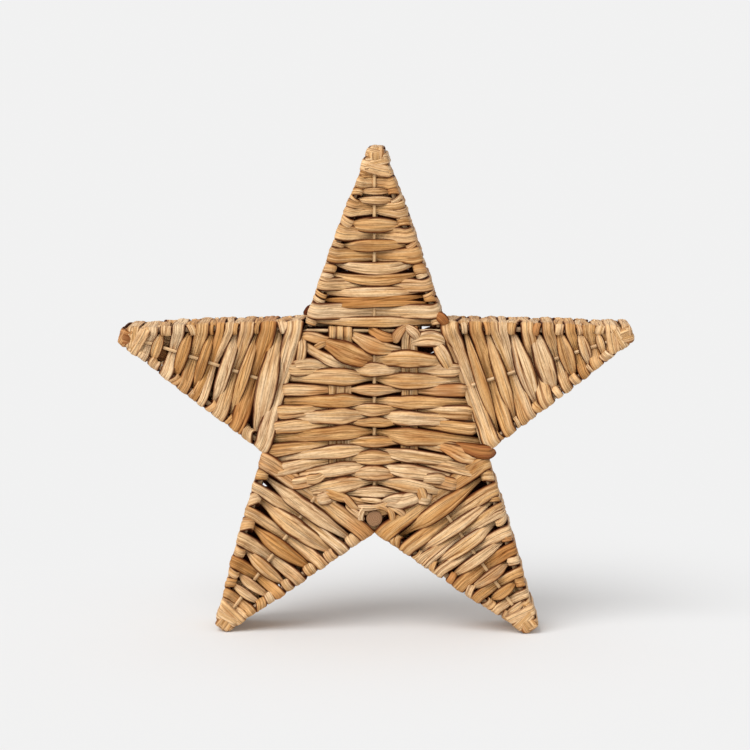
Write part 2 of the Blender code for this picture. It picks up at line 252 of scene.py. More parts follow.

# %% [markdown]
# The marks lie over each other from the broad to the fine, as on a leaf: first the strand goes from
# tan to straw and cream in streaks, then brown blotches and mottling come in, then the orange flush
# and the rust, then fine lines and wrinkles, and last a painted shade, darker in the folds, the
# valleys and on the underside, and towards the edges, where the leaf also browns. Each mark is one
# noise. Its scale counts in waves for each millimetre, first across the strand and then along it,
# so a second number that is far below the first draws the noise out along the fibres. A wrinkle is
# the thin line where a noise passes one value.

# %% Leaf colour
def leaf_colour(fibre, tone_and_shade, cream, pale, middling, brown, orange, rust):
    """Straw that goes tan in streaks, brown in blotches and lines, orange where it is warm, and darker
    with painted shade in folds, valleys, underside and edges.
    """
    tone, warmth, painted_shade = tone_and_shade.part(0), tone_and_shade.part(1), tone_and_shade.part(2)
    fine = fibre.noise((1.5, 0.050, 7.1), 3.0)
    streaks = fibre.noise((0.50, 0.020, 3.7), 2.0)
    blotches = fibre.noise((0.12, 0.040, 5.3), 2.0)
    flush = fibre.noise((0.10, 0.030, 8.3), 2.0)
    wrinkles = fibre.noise((0.40, 0.010, 2.9), 1.0)
    mottle = fibre.noise((0.85, 0.40, 6.1), 2.0)
    wrinkle = wrinkles.away_from(0.5).step(0.0, 0.03) * wrinkles.away_from(0.36).step(0.0, 0.025)
    colour = (streaks * 1.2 + tone * 0.9).step(0.55, 1.25).between(middling, pale)
    colour = colour.tint((streaks + tone * 0.9).step(0.85, 1.45) * 0.70, cream)
    colour = colour.tint((blotches - tone * 0.30).step(0.25, 0.62) * 0.50, brown)
    colour = colour.tint(mottle.step(0.30, 0.60, 0.22, 0.0), brown)
    colour = colour.tint((flush * 1.6 + warmth * 0.9 - 0.85).step(0.0, 0.75) * 0.85, orange)
    colour = colour.tint(warmth.step(0.6, 1.1) * streaks.step(0.3, 0.7, 1.0, 0.3), rust)
    colour = colour.tint(fine.step(0.30, 0.56, 0.36, 0.0), brown)
    dark = tuple(share * part for share, part in zip(PAINTED_SHADE_SHARES, brown)) + (1.0,)
    colour = colour.tint(wrinkle.step(0.0, 1.0, 0.50, 0.0), tuple(0.6 * part for part in brown))
    # Painted shade: brown, then a near black brown where the shade is deepest.
    colour = colour.tint(painted_shade.step(0.0, 0.5) * 0.55, brown)
    colour = colour.tint(painted_shade.step(0.25, 0.9) * 0.95, dark)
    return colour, fine * 0.5 + streaks * 0.5 + wrinkle * 0.45, streaks


print("leaf colour ready")

# %% [markdown]
# The same noises also make the leaf a little rougher in some streaks, and lift its fibres by a
# Bump node. Real displacement would need a far finer mesh and is lost when the star is exported.
# Dried leaf has hardly any gloss, so its specular level is low.

# %% Leaf material
LEAF_ROUGHNESS, LEAF_GLOSS = 0.50, 0.14
FIBRE_HEIGHT = 0.0014


def leaf_material(name, colours, roughness, gloss, fibre_height):
    """A leaf's colour, with a roughness and a bump that run along its fibres."""
    material, start, shader = new_material(name)
    attribute = "ShaderNodeAttribute"
    fibre = start.node(attribute, {"attribute_name": "fibre"}, None, 1)
    tone_and_shade = start.node(attribute, {"attribute_name": "tone_and_shade"}, None, 1)
    colour, relief, streaks = leaf_colour(fibre, tone_and_shade, *colours)
    colour.into(shader, "Base Color")
    (streaks * 0.35 + tone_and_shade.part(2) * 0.2 + (roughness - 0.18)).into(shader, "Roughness")
    height = {"Height": relief, "Distance": fibre_height, "Strength": 0.8}
    start.node("ShaderNodeBump", None, height).into(shader, "Normal")
    shader.inputs["Specular IOR Level"].default_value = gloss
    return material


leaf = leaf_material("dried_leaf", LEAF_COLOURS, LEAF_ROUGHNESS, LEAF_GLOSS, FIBRE_HEIGHT)
print("leaf nodes", len(leaf.node_tree.nodes))

# %% [markdown]
# ## A strand's path
#
# A strand is made from a few stations, which say where it lies, which way it faces, how wide and
# how thick it is there. A Catmull-Rom curve passes through every station and needs no handles, so
# a weave can be written down station by station. Each strand also wanders a little in width and
# in its folds, by smooth random lines with a seed, so that the star is the same in every run.

# %% Smooth curves
STATION_GAP = 1.5


def smooth_through(values, closed, counts):
    """Points on a curve through the values, with this many in each stretch."""
    values = np.asarray(values, float)
    number = len(values)
    made = []
    for place in range(number if closed else number - 1):
        picks = np.arange(place - 1, place + 3)
        picks = picks % number if closed else np.clip(picks, 0, number - 1)
        before, start, end, after = values[picks]
        step = (np.arange(counts[place]) / counts[place])[:, None]
        slope, bend = end - before, 2 * before - 5 * start + 4 * end - after
        made.append(start + 0.5 * (slope * step + bend * step**2))
        made[-1] += 0.5 * (3 * start - before - 3 * end + after) * step**3
    if not closed:
        made.append(values[-1:])
    return np.concatenate(made)


def wander(draw, run, reach, swing, closed):
    """A smooth random line along a strand, which changes over about this many millimetres."""
    knots = max(3, int(run[-1] / reach) + 3)
    heights = draw.uniform(-swing, swing, knots)
    if closed:
        heights[-1] = heights[0]
    place = run / run[-1] * (knots - 1)
    pick = np.minimum(place.astype(int), knots - 2)
    share = (1 - np.cos(np.pi * (place - pick))) / 2
    return heights[pick] * (1 - share) + heights[pick + 1] * share


print("a station every", STATION_GAP, "mm")

# %% [markdown]
# ## A strand's section
#
# Across, a folded leaf is a low cushion: rounded edges, a few soft ridges, and one deep fold that
# drifts from side to side. Most of the section's points go to its upper side, since the lower one
# lies against the wires. Where the strand is pinched, the ridges crowd together as fibres do.

# %% Section
UPPER_POINTS, LOWER_POINTS = 18, 4
PLEATS = ((1.2, 0.36), (2.6, 0.26))
FINE_RIDGE = (5.2, 0.06)
FULL_TURN = 6.3


def cushion_height(across):
    """How high a strand's section is, from 0 at its edges to 1 in the middle."""
    return (1 - np.abs(across) ** 2.2) ** 0.5


upper = np.linspace(0, 1, UPPER_POINTS)
upper = 0.65 * (1 - 2 * upper) + 0.35 * np.cos(np.pi * upper)
lower = np.linspace(-0.72, 0.72, LOWER_POINTS)
SECTION_X = np.concatenate([upper, lower])
SECTION_Y = np.concatenate([cushion_height(upper), -0.75 * cushion_height(lower)])
print("section of", len(SECTION_X), "points")

# %% [markdown]
# The pleats of one leaf aren't those of the next, and they drift as they run along it. So each
# strand draws its own, from smooth random lines. A drift is said in two numbers: the millimetres
# over which it changes, and how far it swings. The function also says how near a point is to a
# valley, because the leaf's colour paints shade into the valleys.

# %% Pleats
PLEAT_DRIFT, PLEAT_SWELL, RIDGE_DRIFT = (18.0, 1.5), (12.0, 0.6), (14.0, 1.8)
VALLEY_WIDTH = 0.22


def pleats_of(draw, run, closed):
    """Soft pleats with sharp valleys between them, and how near each point is to a valley."""
    heights = np.zeros((len(run), len(SECTION_X)))
    valleys = np.zeros_like(heights)
    for waves, height in PLEATS:
        sway = draw.uniform(0, FULL_TURN) + wander(draw, run, *PLEAT_DRIFT, closed)
        strength = height * (1 + wander(draw, run, *PLEAT_SWELL, closed))[:, None]
        swell = np.abs(np.cos(np.pi / 2 * waves * SECTION_X + sway[:, None]))
        heights += strength * (swell**0.7 - 0.7)
        valleys = np.maximum(valleys, strength / height * np.exp(-((swell / VALLEY_WIDTH) ** 2)))
    waves, height = FINE_RIDGE
    sway = draw.uniform(0, FULL_TURN) + wander(draw, run, *RIDGE_DRIFT, closed)
    return heights + height * np.cos(np.pi * waves * SECTION_X + sway[:, None]), valleys


print("pleats of", len(PLEATS), "sizes and one fine ridge")

# %% Folds
FOLD_WIDTH = 0.10
FOLD_DRIFT, FOLD_MEAN, FOLD_SWELL = (22.0, 0.25), 0.55, (15.0, 0.45)


def fold_of(draw, run, depth, closed):
    """The one deep fold of a strand, as a depth at each of its points."""
    place = draw.uniform(-0.5, 0.5) + wander(draw, run, *FOLD_DRIFT, closed)
    depths = depth * (FOLD_MEAN + wander(draw, run, *FOLD_SWELL, closed))
    near = np.exp(-(((SECTION_X - place[:, None]) / FOLD_WIDTH) ** 2))
    return depths[:, None] * near * (SECTION_Y > 0.2)


print("a fold is", FOLD_WIDTH, "of a strand's half width")

# %% [markdown]
# ## From strands to a piece
#
# A curve object with a bevel would also make ribbons, but all of its ribbon has one section. Here
# the sections are joined by mesh code, so that each can differ. Each needs three directions that
# are square to each other: along the strand, across it, and the way its upper side faces.

# %% Directions along a strand
def directions(centre, facing, closed):
    """The ways across a strand and out of it, and how far along it each point lies."""
    if closed:
        along = np.roll(centre, -1, axis=0) - np.roll(centre, 1, axis=0)
    else:
        along = np.gradient(centre, axis=0)
    along /= np.linalg.norm(along, axis=1)[:, None]
    across = np.cross(along, facing)
    across /= np.linalg.norm(across, axis=1)[:, None]
    steps = np.linalg.norm(np.diff(centre, axis=0), axis=1) / MM
    run = np.concatenate([[0.0], np.cumsum(steps)])
    return across, np.cross(across, along), run


print("directions ready")

# %% Sizes along a strand
LEAST_WIDTH, LEAST_THICKNESS = 0.8, 0.6
WIDTH_DRIFT, THICKNESS_DRIFT = (11.0, 0.09), (14.0, 0.12)
END_LENGTH = 2.2


def sizes_along(draw, run, sizes, closed):
    """How wide and how thick a strand is along its run. An open one has round ends."""
    width = np.maximum(sizes[:, 0], LEAST_WIDTH)
    width = width * (1 + wander(draw, run, *WIDTH_DRIFT, closed))
    thick = np.maximum(sizes[:, 1], LEAST_THICKNESS)
    thick = thick * (1 + wander(draw, run, *THICKNESS_DRIFT, closed))
    if not closed:
        rounded = np.sqrt(np.clip(np.minimum(run, run[-1] - run) / END_LENGTH, 0.02, 1.0))
        width, thick = width * rounded, thick * rounded
    return width, thick


print("an open strand's end rounds off over", END_LENGTH, "mm")

# %% Faces of a strand
def strand_faces(start, rows, closed):
    """Joins each section of a strand to the next, and closes the ends of an open one."""
    size = len(SECTION_X)
    ring = start + np.arange(size)
    turned = np.roll(ring, -1)
    first = np.arange(rows if closed else rows - 1)[:, None] * size
    second = (first + size) % (rows * size)
    quads = np.stack([first + ring, second + ring, second + turned, first + turned], -1)
    faces = quads.reshape(-1, 4).tolist()
    if not closed:
        faces.append(ring.tolist())
        faces.append((ring[::-1] + (rows - 1) * size).tolist())
    return faces


print("a closed strand of ten sections has", len(strand_faces(0, 10, True)), "faces")

# %% [markdown]
# All strands of one piece go into one mesh, with the two attributes that the leaf material reads.
# One object for each strand would be easier to move about, but there are hundreds of them. The
# class keeps the points, faces and attributes of every strand that is laid. On a closed strand,
# the distance along it is folded at half way, so that the fibres match where its end meets its
# start.

# %% Strand laying
WIDE_ENOUGH, THICK_ENOUGH = 7.0, 2.5
USUAL_FOLD, USUAL_TONE = (0.2, 1.0), (0.40, 0.84)
TONE_DRIFT, WARMTH_DRIFT = (25.0, 0.12), (18.0, 0.5)
WARMTHS, WARMTH_CHANCES = (0.0, 0.25, 0.6), (0.8, 0.13, 0.07)
# Towards a strand's edges its colour darkens, from this share of its half width on over this much
# more: partly the leaf's own browning and partly painted shade.
EDGE_START, EDGE_LENGTH = 0.62, 0.34
FIRST_STRAND, NEXT_STRAND = 3.1, 13.7


class Leafwork:
    """Collects the strands of one piece."""

    def __init__(self, name, seed):
        self.name = name
        self.draw = np.random.default_rng(seed)
        self.points, self.faces, self.fibres, self.tones_and_shades = [], [], [], []
        self.count = 0

    def lay(self, stations, closed=False, tone=None, warmth=None, fold=None, edges=1.0):
        """Lays a strand through stations of (place, facing, width, thickness)."""
        draw = self.draw
        places = np.array([station[0] for station in stations], float)
        lengths = np.linalg.norm(np.roll(places, -1, axis=0) - places, axis=1) / MM
        counts = np.maximum(2, np.round(lengths / STATION_GAP)).astype(int)
        centre = smooth_through(places, closed, counts)
        facing = smooth_through([station[1] for station in stations], closed, counts)
        sizes = smooth_through([station[2:4] for station in stations], closed, counts)
        across, facing, run = directions(centre, facing, closed)
        width, thick = sizes_along(draw, run, sizes, closed)
        pleats, valleys = pleats_of(draw, run, closed)
        pleats = pleats * np.minimum(1, width / WIDE_ENOUGH)[:, None]
        fold = draw.uniform(*USUAL_FOLD) if fold is None else fold
        fold = fold_of(draw, run, fold, closed) * np.minimum(1, thick / THICK_ENOUGH)[:, None]
        lift = SECTION_Y * thick[:, None] / 2
        lift = lift + np.clip(SECTION_Y, 0, 1) * (pleats - fold)
        side = SECTION_X * width[:, None] / 2
        shape = centre[:, None, :] + across[:, None, :] * (side * MM)[:, :, None]
        shape = shape + facing[:, None, :] * (lift * MM)[:, :, None]
        self.faces.extend(strand_faces(self.count, len(run), closed))
        self.count += len(run) * len(SECTION_X)
        self.points.append(shape.reshape(-1, 3))
        self.mark_fibres(run, max(station[2] for station in stations) / 2, closed)
        # Painted shade: the colour darkens in the deep fold, in the pleats' valleys and on the whole
        # underside; towards the edges it is partly the leaf's own browning and partly painted shade.
        edge = np.clip((np.abs(SECTION_X) - EDGE_START) / EDGE_LENGTH, 0, 1) ** 1.5 * edges
        painted_shade = np.clip(fold * 0.9 + valleys * 0.24 + edge + (SECTION_Y < 0), 0, 1)
        self.tone_and_shade(run, tone, warmth, painted_shade, closed)

    def mark_fibres(self, run, reach, closed):
        """Says how far across and along its strand each point lies, and which strand it is on."""
        flat = np.ones((len(run), len(SECTION_X)))
        far = np.abs(run - run[-1] / 2) if closed else run
        strand = NEXT_STRAND * len(self.fibres) + FIRST_STRAND
        mark = (SECTION_X * reach * flat, far[:, None] * flat, strand * flat)
        self.fibres.append(np.stack(mark, -1).reshape(-1, 3))

    def tone_and_shade(self, run, tone, warmth, painted_shade, closed):
        """Gives a strand its tone, its warmth and its painted shade."""
        draw = self.draw
        tone = draw.uniform(*USUAL_TONE) if tone is None else tone
        tones = tone + wander(draw, run, *TONE_DRIFT, closed)
        warmth = draw.choice(WARMTHS, p=WARMTH_CHANCES) if warmth is None else warmth
        warmths = warmth * (1 + wander(draw, run, *WARMTH_DRIFT, closed))
        flat = np.ones_like(painted_shade)
        tone_and_shade = (tones[:, None] * flat, warmths[:, None] * flat, painted_shade)
        self.tones_and_shades.append(np.stack(tone_and_shade, -1).reshape(-1, 3))


print("ready to lay strands")

# %% [markdown]
# A finished piece rides on the star's body, wears the leaf material, and hides the plain solids
# that it stands for. Leaf can be squeezed but can't sink into the floor, so points that would lie
# lower are lifted to it.

# %% From strands to a piece
FLOOR_GAP = 0.0002


def leaf_piece(work, slot, *replaced):
    """One object from all strands of a work, which stands for these solids."""
    mesh = bpy.data.meshes.new(work.name)
    points = np.concatenate(work.points)
    points[:, 2] = np.maximum(points[:, 2], FLOOR_GAP)
    mesh.from_pydata(points.tolist(), [], work.faces)
    for name, values in (("fibre", work.fibres), ("tone_and_shade", work.tones_and_shades)):
        layer = mesh.attributes.new(name, "FLOAT_VECTOR", "POINT")
        layer.data.foreach_set("vector", np.concatenate(values).astype(np.float32).ravel())
    mesh.shade_smooth()
    mesh.materials.append(leaf)
    obj = bpy.data.objects.new(work.name, mesh)
    bpy.context.scene.collection.objects.link(obj)
    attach(obj, "root")
    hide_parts(*replaced)
    triangles = sum(len(face) - 2 for face in work.faces)
    print(work.name, len(work.fibres), "strands", triangles, "triangles")


print("the lowest leaf lies", FLOOR_GAP / MM, "mm over the floor")

# %% [markdown]
# ## The arms
#
# Each arm is a plain weave round three rods: a wire at either edge and the thin spoke between.
# One kind of row goes over both wires and under the spoke. The next goes over the spoke as a fat
# lens, and its ends dip in behind the wires. Even spacing would look machine-made, so each row is
# read from the photo: how far it lies from the star's centre, how tall it is, how far it rises to
# one side, how far its ends lie beyond its middle, and where its leaf is darker or warmer than the
# rest. On the lower arms some lenses dip early and leave a dark gap beside a wire, on the side
# that is left or right in the picture.

# %% Rows of the arms
def row(at, tall, rise=0.0, sag=0.0, tone=None, warmth=0.0, parts=1, gaps=()):
    """One row of an arm, in millimetres. It may be two strands, and may leave a gap at a side."""
    names = ("at", "tall", "rise", "sag", "tone", "warmth", "parts", "gaps")
    return dict(zip(names, (at, tall, rise, sag, tone, warmth, parts, gaps)))


LEFT, RIGHT, BOTH = (-1,), (1,), (-1, 1)
OVER_WIRE_ROWS = {
    "top": (
        row(161.5, 8.5, 0.5), row(143.5, 10.5, 0.5, parts=2), row(126.0, 10.5, 1.0), row(111.5, 11.0),
        row(91.3, 9.5, 0.5), row(73.0, 11.0, parts=2),
    ),
    "left": (
        row(164.5, 7.5, 0.5), row(146.5, 8.5, -0.5, tone=0.9), row(131.5, 9.0),
        row(118.0, 11.5, 1.5, parts=2, warmth=0.2), row(102.0, 10.0),
        row(88.0, 11.0, tone=0.3, warmth=0.5), row(69.0, 11.6, -2.0),
    ),
    "lower_left": (
        row(162.0, 7.5, 0.5), row(140.0, 8.5, tone=0.3, warmth=0.3), row(123.7, 9.5, tone=0.8),
        row(105.0, 8.5), row(88.2, 8.5), row(69.4, 12.0, tone=0.6, warmth=0.5),
    ),
    "lower_right": (
        row(160.0, 7.5, 1.0), row(145.0, 7.5, 1.0), row(130.0, 9.5, tone=0.3, warmth=0.35),
        row(116.0, 8.0, 2.0), row(102.3, 9.0, 0.7, parts=2), row(88.3, 10.5, 0.7),
        row(69.8, 11.6, tone=0.4),
    ),
    "right": (
        row(157.0, 9.0, 1.0), row(146.0, 7.0, tone=0.4), row(131.7, 8.0), row(117.0, 10.0, 1.5),
        row(99.7, 10.5, parts=2), row(85.0, 9.5), row(69.6, 11.6, -1.6),
    ),
}
OVER_SPOKE_ROWS = {
    "top": (
        row(155.7, 4.6), row(149.6, 6.0), row(132.5, 10.0), row(118.5, 8.5, -1.0),
        row(102.5, 9.0, sag=4.5, tone=0.8), row(94.5, 8.0, sag=5.0), row(86.3, 7.5, -1.0, tone=0.7),
        row(79.5, 9.5, -1.5, tone=0.1, warmth=0.4, parts=2), row(65.8, 8.0),
    ),
    "left": (
        row(158.0, 7.5), row(139.5, 8.5, tone=0.3, warmth=0.25), row(124.5, 7.5, tone=0.3, warmth=0.3),
        row(108.0, 9.5, tone=0.8), row(94.5, 8.0), row(77.5, 14.0, -4.0),
    ),
    "lower_left": (
        row(154.5, 6.5), row(146.7, 7.5, gaps=LEFT), row(131.5, 9.0, 2.0, gaps=LEFT),
        row(113.5, 11.0, tone=0.3, warmth=0.25, gaps=LEFT), row(95.5, 13.0, gaps=LEFT),
        row(80.0, 11.5, tone=0.85, gaps=LEFT),
    ),
    "lower_right": (
        row(166.0, 6.0), row(151.7, 7.5, gaps=BOTH), row(137.5, 8.5, warmth=0.4, gaps=RIGHT),
        row(122.5, 8.5, tone=0.7), row(109.5, 10.0, gaps=RIGHT), row(95.5, 9.0),
        row(79.0, 11.0, tone=0.3, gaps=BOTH),
    ),
    "right": (
        row(163.0, 6.0), row(151.5, 7.5), row(138.5, 10.5), row(122.5, 13.5, tone=0.85),
        row(108.5, 12.0, -0.5), row(91.5, 9.0), row(77.5, 7.5),
    ),
}
arm_rows = [len(OVER_WIRE_ROWS[name]) + len(OVER_SPOKE_ROWS[name]) for name in ARM_NAMES]
print("rows of each arm", arm_rows)

# %% [markdown]
# A row runs round the arm along one of two paths. Over a face, a path is said as how far it is
# from the spoke to the wire, from 0 to 1, how far it lies out of the face, and how wide it is for
# how tall the row is. At the sides it is said as how far out of the wire, how far out of the face,
# how much it faces forwards, and how wide. Half a path is enough, because the rest is its mirror.

# %% The two paths of a row
LEAF_THICK = 2.9
OUT = WIRE + LEAF_THICK / 2 + 0.2
OVER_WIRES = (
    ((0.0, -SPOKE - 1.5, 0.88), (0.35, -0.9, 1.0), (0.72, 0.9, 1.06), (0.95, OUT - 0.3, 1.04)),
    ((0.72 * OUT, 0.72 * OUT, 0.75, 1.06), (OUT, -1.0, 0.1, 1.10), (OUT - 0.1, -10.0, 0.0, 1.12)),
)
OVER_SPOKE = (
    ((0.0, SPOKE + 1.5, 1.08), (0.33, 1.9, 0.98), (0.66, -0.2, 0.70), (0.92, -3.0, 0.40)),
    ((0.0, -4.6, 0.6, 0.40), (OUT - 1.3, -7.0, 0.2, 0.74), (OUT - 0.4, -12.0, 0.0, 1.10)),
)
print("a row lies", round(OUT, 2), "mm out from the wires")

# %% [markdown]
# A loop could be one curve that is bent by modifiers, but its two faces differ: the front follows
# the photo, and the back is plainer and a little fuller. So the stations of one face come from a
# function, and the loop joins two faces by the arm's sides, where the strand spreads and lies
# against the next. Near the tips all leaf lies thinner, since little room is left between wires.

# %% One face of an arm
CAP_EDGE, BASE_EDGE = 168.5, 63.0
SLIM_START, SLIMMEST = 140.0, 0.62
BACK_FULLNESS, BACK_LEAST = 1.12, (0.70, 2.2)
GAP_START, GAP_DIP, GAP_WIDTH = 0.5, 2.6, 0.72


def slim(at):
    """How thick the leaf lies this far out, as a share: thinner near the tips."""
    share = min(1.0, max(0.0, (at - SLIM_START) / (CAP_EDGE - SLIM_START)))
    return 1.0 - (1.0 - SLIMMEST) * share


def face_half(angle, face, shape, at, tall, rise, sag, apart, lift, gaps):
    """Stations over one face of an arm, from one wire to the other."""
    there = [(-share, level, width) for share, level, width in reversed(shape)]
    stations = []
    for share, level, width in there + list(shape[1:]):
        if face == FRONT and abs(share) > GAP_START and math.copysign(1, share) in gaps:
            level, width = level - GAP_DIP, width * GAP_WIDTH
        broad = width * tall
        if face == BACK:
            broad = max(broad * BACK_FULLNESS, BACK_LEAST[0] * tall + BACK_LEAST[1])
        along = at + rise * share + sag * share * share + apart * (0.35 + 0.65 * abs(share))
        across = -face * share * half_width(along)
        place = on_arm(angle, along, across, face * (HALF_DEPTH + (level + lift) * slim(at)))
        stations.append((place, (0, face, 0), broad, LEAF_THICK * slim(at)))
    return stations


print("beside the tips the leaf is", round(LEAF_THICK * slim(CAP_EDGE), 1), "mm thick")

# %% One loop round an arm
SMALL_ROW, SIDE_START = 5.2, -6.5
BACK_SHIFT, BACK_BEND = (-1.2, 1.2), (-0.6, 1.2)


def side_of_arm(angle, side, out, along, y, tilt, width):
    """A station outside an arm's wire, facing outwards and tilted to the front or back."""
    reach = side * (half_width(along) + out * math.cos(TIP_HALF_ANGLE))
    place = on_arm(angle, along + out * math.sin(TIP_HALF_ANGLE), reach, y)
    slope = (math.sin(TIP_HALF_ANGLE), side * math.cos(TIP_HALF_ANGLE))
    flat = 1 - abs(tilt) * 0.3
    way = arm_way(angle, flat * slope[0], flat * slope[1], tilt)
    return place, way, width, LEAF_THICK * slim(along)


def loop_round_arm(work, angle, row_there, path, tall, side_width, apart=0.0, lift=0.0):
    """A closed strand round an arm, along one of the two paths of the weave."""
    over_face, over_side = path
    at, rise, sag = row_there["at"], row_there["rise"], row_there["sag"]
    shifts = {FRONT: (at, rise, sag)}
    shift = work.draw.uniform(*BACK_SHIFT)
    turn = work.draw.uniform(*BACK_SHIFT)
    shifts[BACK] = (at + shift, turn, work.draw.uniform(*BACK_BEND))
    faces, ends = {}, {}
    for face, (there, slant, bend) in shifts.items():
        run = (there, tall, slant, bend, apart, lift, row_there["gaps"])
        faces[face] = face_half(angle, face, over_face, *run)
        ends[face] = (there - slant + bend + apart, there + slant + bend + apart)
    stations = []
    for face in (FRONT, BACK):
        stations += faces[face]
        start, end = ends[face][1], ends[-face][0]
        middle = (over_side[-1][0], -HALF_DEPTH, 0.0, over_side[-1][3])
        spots = [(face, spot, start) for spot in over_side] + [(face, middle, (start + end) / 2)]
        spots += [(-face, spot, end) for spot in reversed(over_side)]
        for near, (out, level, tilt, width), place in spots:
            y = near * (HALF_DEPTH + level * slim(at))
            broad = side_width if level < SIDE_START else max(width * tall, min(SMALL_ROW, tall))
            out = out * slim(at)
            stations.append(side_of_arm(angle, -face, out, place, y, near * tilt, broad))
    work.lay(stations, closed=True, tone=row_there["tone"], warmth=row_there["warmth"])


print("a loop has", 2 * (len(OVER_WIRES[0]) + len(OVER_WIRES[1])) * 2, "stations")

# %% [markdown]
# ## Beads on the wires
#
# Where a lens dips in behind a wire, the bare wire would show. The weaver's strand takes one more
# turn round it there, which looks like a bead. A torus would be too even for it, so a bead is a
# short closed strand round the wire, a little skew and never twice the same size.

# %% Beads
BEAD_STATIONS, BEAD_SKEW = 8, 0.35
BEAD_THICK, BEAD_GAP, BEAD_FOLD = (2.0, 2.8), 0.15, 0.4


def wrap_once(work, middle, along, outwards, forwards, radius, width, share=1.0):
    """A short strand wrapped once round a wire, whose middle is in metres."""
    draw = work.draw
    thick = draw.uniform(*BEAD_THICK) * share
    twist = draw.uniform(-BEAD_SKEW, BEAD_SKEW) * width
    reach = radius + thick / 2 + BEAD_GAP
    stations = []
    for step in range(BEAD_STATIONS):
        turn = 2 * math.pi * step / BEAD_STATIONS
        way = Vector(outwards) * math.cos(turn) + Vector(forwards) * math.sin(turn)
        slide = Vector(along) * twist * math.cos(turn + 0.8)
        place = Vector(middle) + (way * reach + slide) * MM
        stations.append((tuple(place), tuple(way), width, thick))
    work.lay(stations, closed=True, fold=BEAD_FOLD)


def bead_on_wire(work, angle, at, side, face, width):
    """A bead on one of an arm's four long wires."""
    middle = on_arm(angle, at, side * half_width(at), face * HALF_DEPTH)
    slope = (math.cos(TIP_HALF_ANGLE), -side * math.sin(TIP_HALF_ANGLE))
    along = arm_way(angle, slope[0], slope[1], 0)
    outwards = arm_way(angle, -slope[1] * side, side * slope[0], 0)
    wrap_once(work, middle, along, outwards, (0, face, 0), WIRE, width, slim(at) ** 1.5)


print("a bead has", BEAD_STATIONS, "stations")

# %% [markdown]
# Now the pieces come together. Between the rows a bead fills each bare stretch of wire, and at the
# sides a row is as wide as the room to the rows next to it. A last small row closes the neck below
# the tip, and the row nearest to the middle lies on top of the middle's ends. Some rows are two
# narrow strands side by side.

# %% Room beside a row
SIDE_FULLNESS, MOST_WIDE = 1.18, 16.0


def free_wire(at, wires, spokes):
    """The stretch of wire near a row over the spoke that no row over the wires covers."""
    above, below = [CAP_EDGE], [BASE_EDGE]
    for other in wires:
        if other["at"] > at:
            above.append(other["at"] - other["tall"] / 2)
        else:
            below.append(other["at"] + other["tall"] / 2)
    above += [(other["at"] + at) / 2 for other in spokes if other["at"] > at]
    below += [(other["at"] + at) / 2 for other in spokes if other["at"] < at]
    return max(below), min(above)


def width_at_sides(one, others):
    """How wide a row is at the sides of its arm, where it closes up to the rows next to it."""
    here = one["at"] + one["sag"]
    places = [other["at"] + other["sag"] for other in others] + [CAP_EDGE, BASE_EDGE]
    above = min([place for place in places if place > here], default=here + one["tall"] / 2)
    below = max([place for place in places if place < here], default=here - one["tall"] / 2)
    return min(MOST_WIDE, max(SMALL_ROW, (above - below) / 2 * SIDE_FULLNESS))


print("at the sides a row is up to", MOST_WIDE, "mm wide")

# %% Weave the five arms
ARM_SEED = 30
NECK = (168.0, 6.2)
LEAST_BEAD, MOST_BEAD, BEAD_FULLNESS = 3.6, 9.5, 1.05
LAST_LIFT = 1.1
TWO_PARTS, PART_SHARE = (-0.27, 0.27), (0.54, 0.64)


def weave_arm(name, seed):
    """All the leaf of one arm but its tip."""
    work = Leafwork(f"arm_leaf_{name}", seed)
    draw = work.draw
    angle = ARM_ANGLES[name]
    wires, spokes = OVER_WIRE_ROWS[name], OVER_SPOKE_ROWS[name]
    for rows_there, path in ((wires, OVER_WIRES), (spokes, OVER_SPOKE)):
        for row_there in rows_there:
            tall, wide = row_there["tall"], width_at_sides(row_there, wires + spokes)
            if row_there is wires[-1]:
                loop_round_arm(work, angle, row_there, path, tall, wide, lift=LAST_LIFT)
            elif row_there["parts"] == 1:
                loop_round_arm(work, angle, row_there, path, tall, wide)
            else:
                for apart in TWO_PARTS:
                    share = draw.uniform(*PART_SHARE)
                    there = (share * tall, share * wide, apart * tall)
                    loop_round_arm(work, angle, row_there, path, *there)
    loop_round_arm(work, angle, row(*NECK), OVER_WIRES, NECK[1], NECK[1])
    beads = []
    for row_there in spokes:
        low, high = free_wire(row_there["at"], wires, spokes)
        width = min(MOST_BEAD, max(LEAST_BEAD, (high - low) * BEAD_FULLNESS))
        beads.append(((low + high) / 2, width))
    for at, width in beads:
        for face in (FRONT, BACK):
            for side in (-1, 1):
                there = at + draw.uniform(-0.6, 0.6)
                bead_on_wire(work, angle, there, side, face, width * draw.uniform(0.85, 1.1))
    leaf_piece(work, "dried_leaf", f"arm_winding_{name}")


for place, name in enumerate(ARM_NAMES):
    weave_arm(name, ARM_SEED + place)
print("arms woven", len(ARM_NAMES))

# %% [markdown]
# ## The tips
#
# The weaver lays straps of leaf over the end of each arm, from the front face to the back, and
# binds them down with close turns, which lie a little skew and cross each other. One last strap
# covers the end. A cone with leaf colours would look like a cap, so these are real turns, and
# their shape follows the arm's straight sides and then a round end.

# %% Turns round the tips
TIP_TURNS = ((171.8, 8.6), (176.6, 8.0), (181.2, 6.4))
TIP_ROUND, TIP_CENTRE = 7.7, 177.86
# TURN_EDGES halves the edge darkening of a turn, which is partly browning and partly painted shade.
TURN_THICK, TURN_TONE, TURN_FOLD, TURN_EDGES = 1.5, 0.7, 0.35, 0.5


def tip_half(at):
    """Half the width of a finished tip this far from the star's centre."""
    if at < TIP_CENTRE + TIP_ROUND * math.sin(TIP_HALF_ANGLE):
        return half_width(at) + (WIRE + TURN_THICK + 0.15) / math.cos(TIP_HALF_ANGLE)
    return math.sqrt(TIP_ROUND**2 - (at - TIP_CENTRE) ** 2)


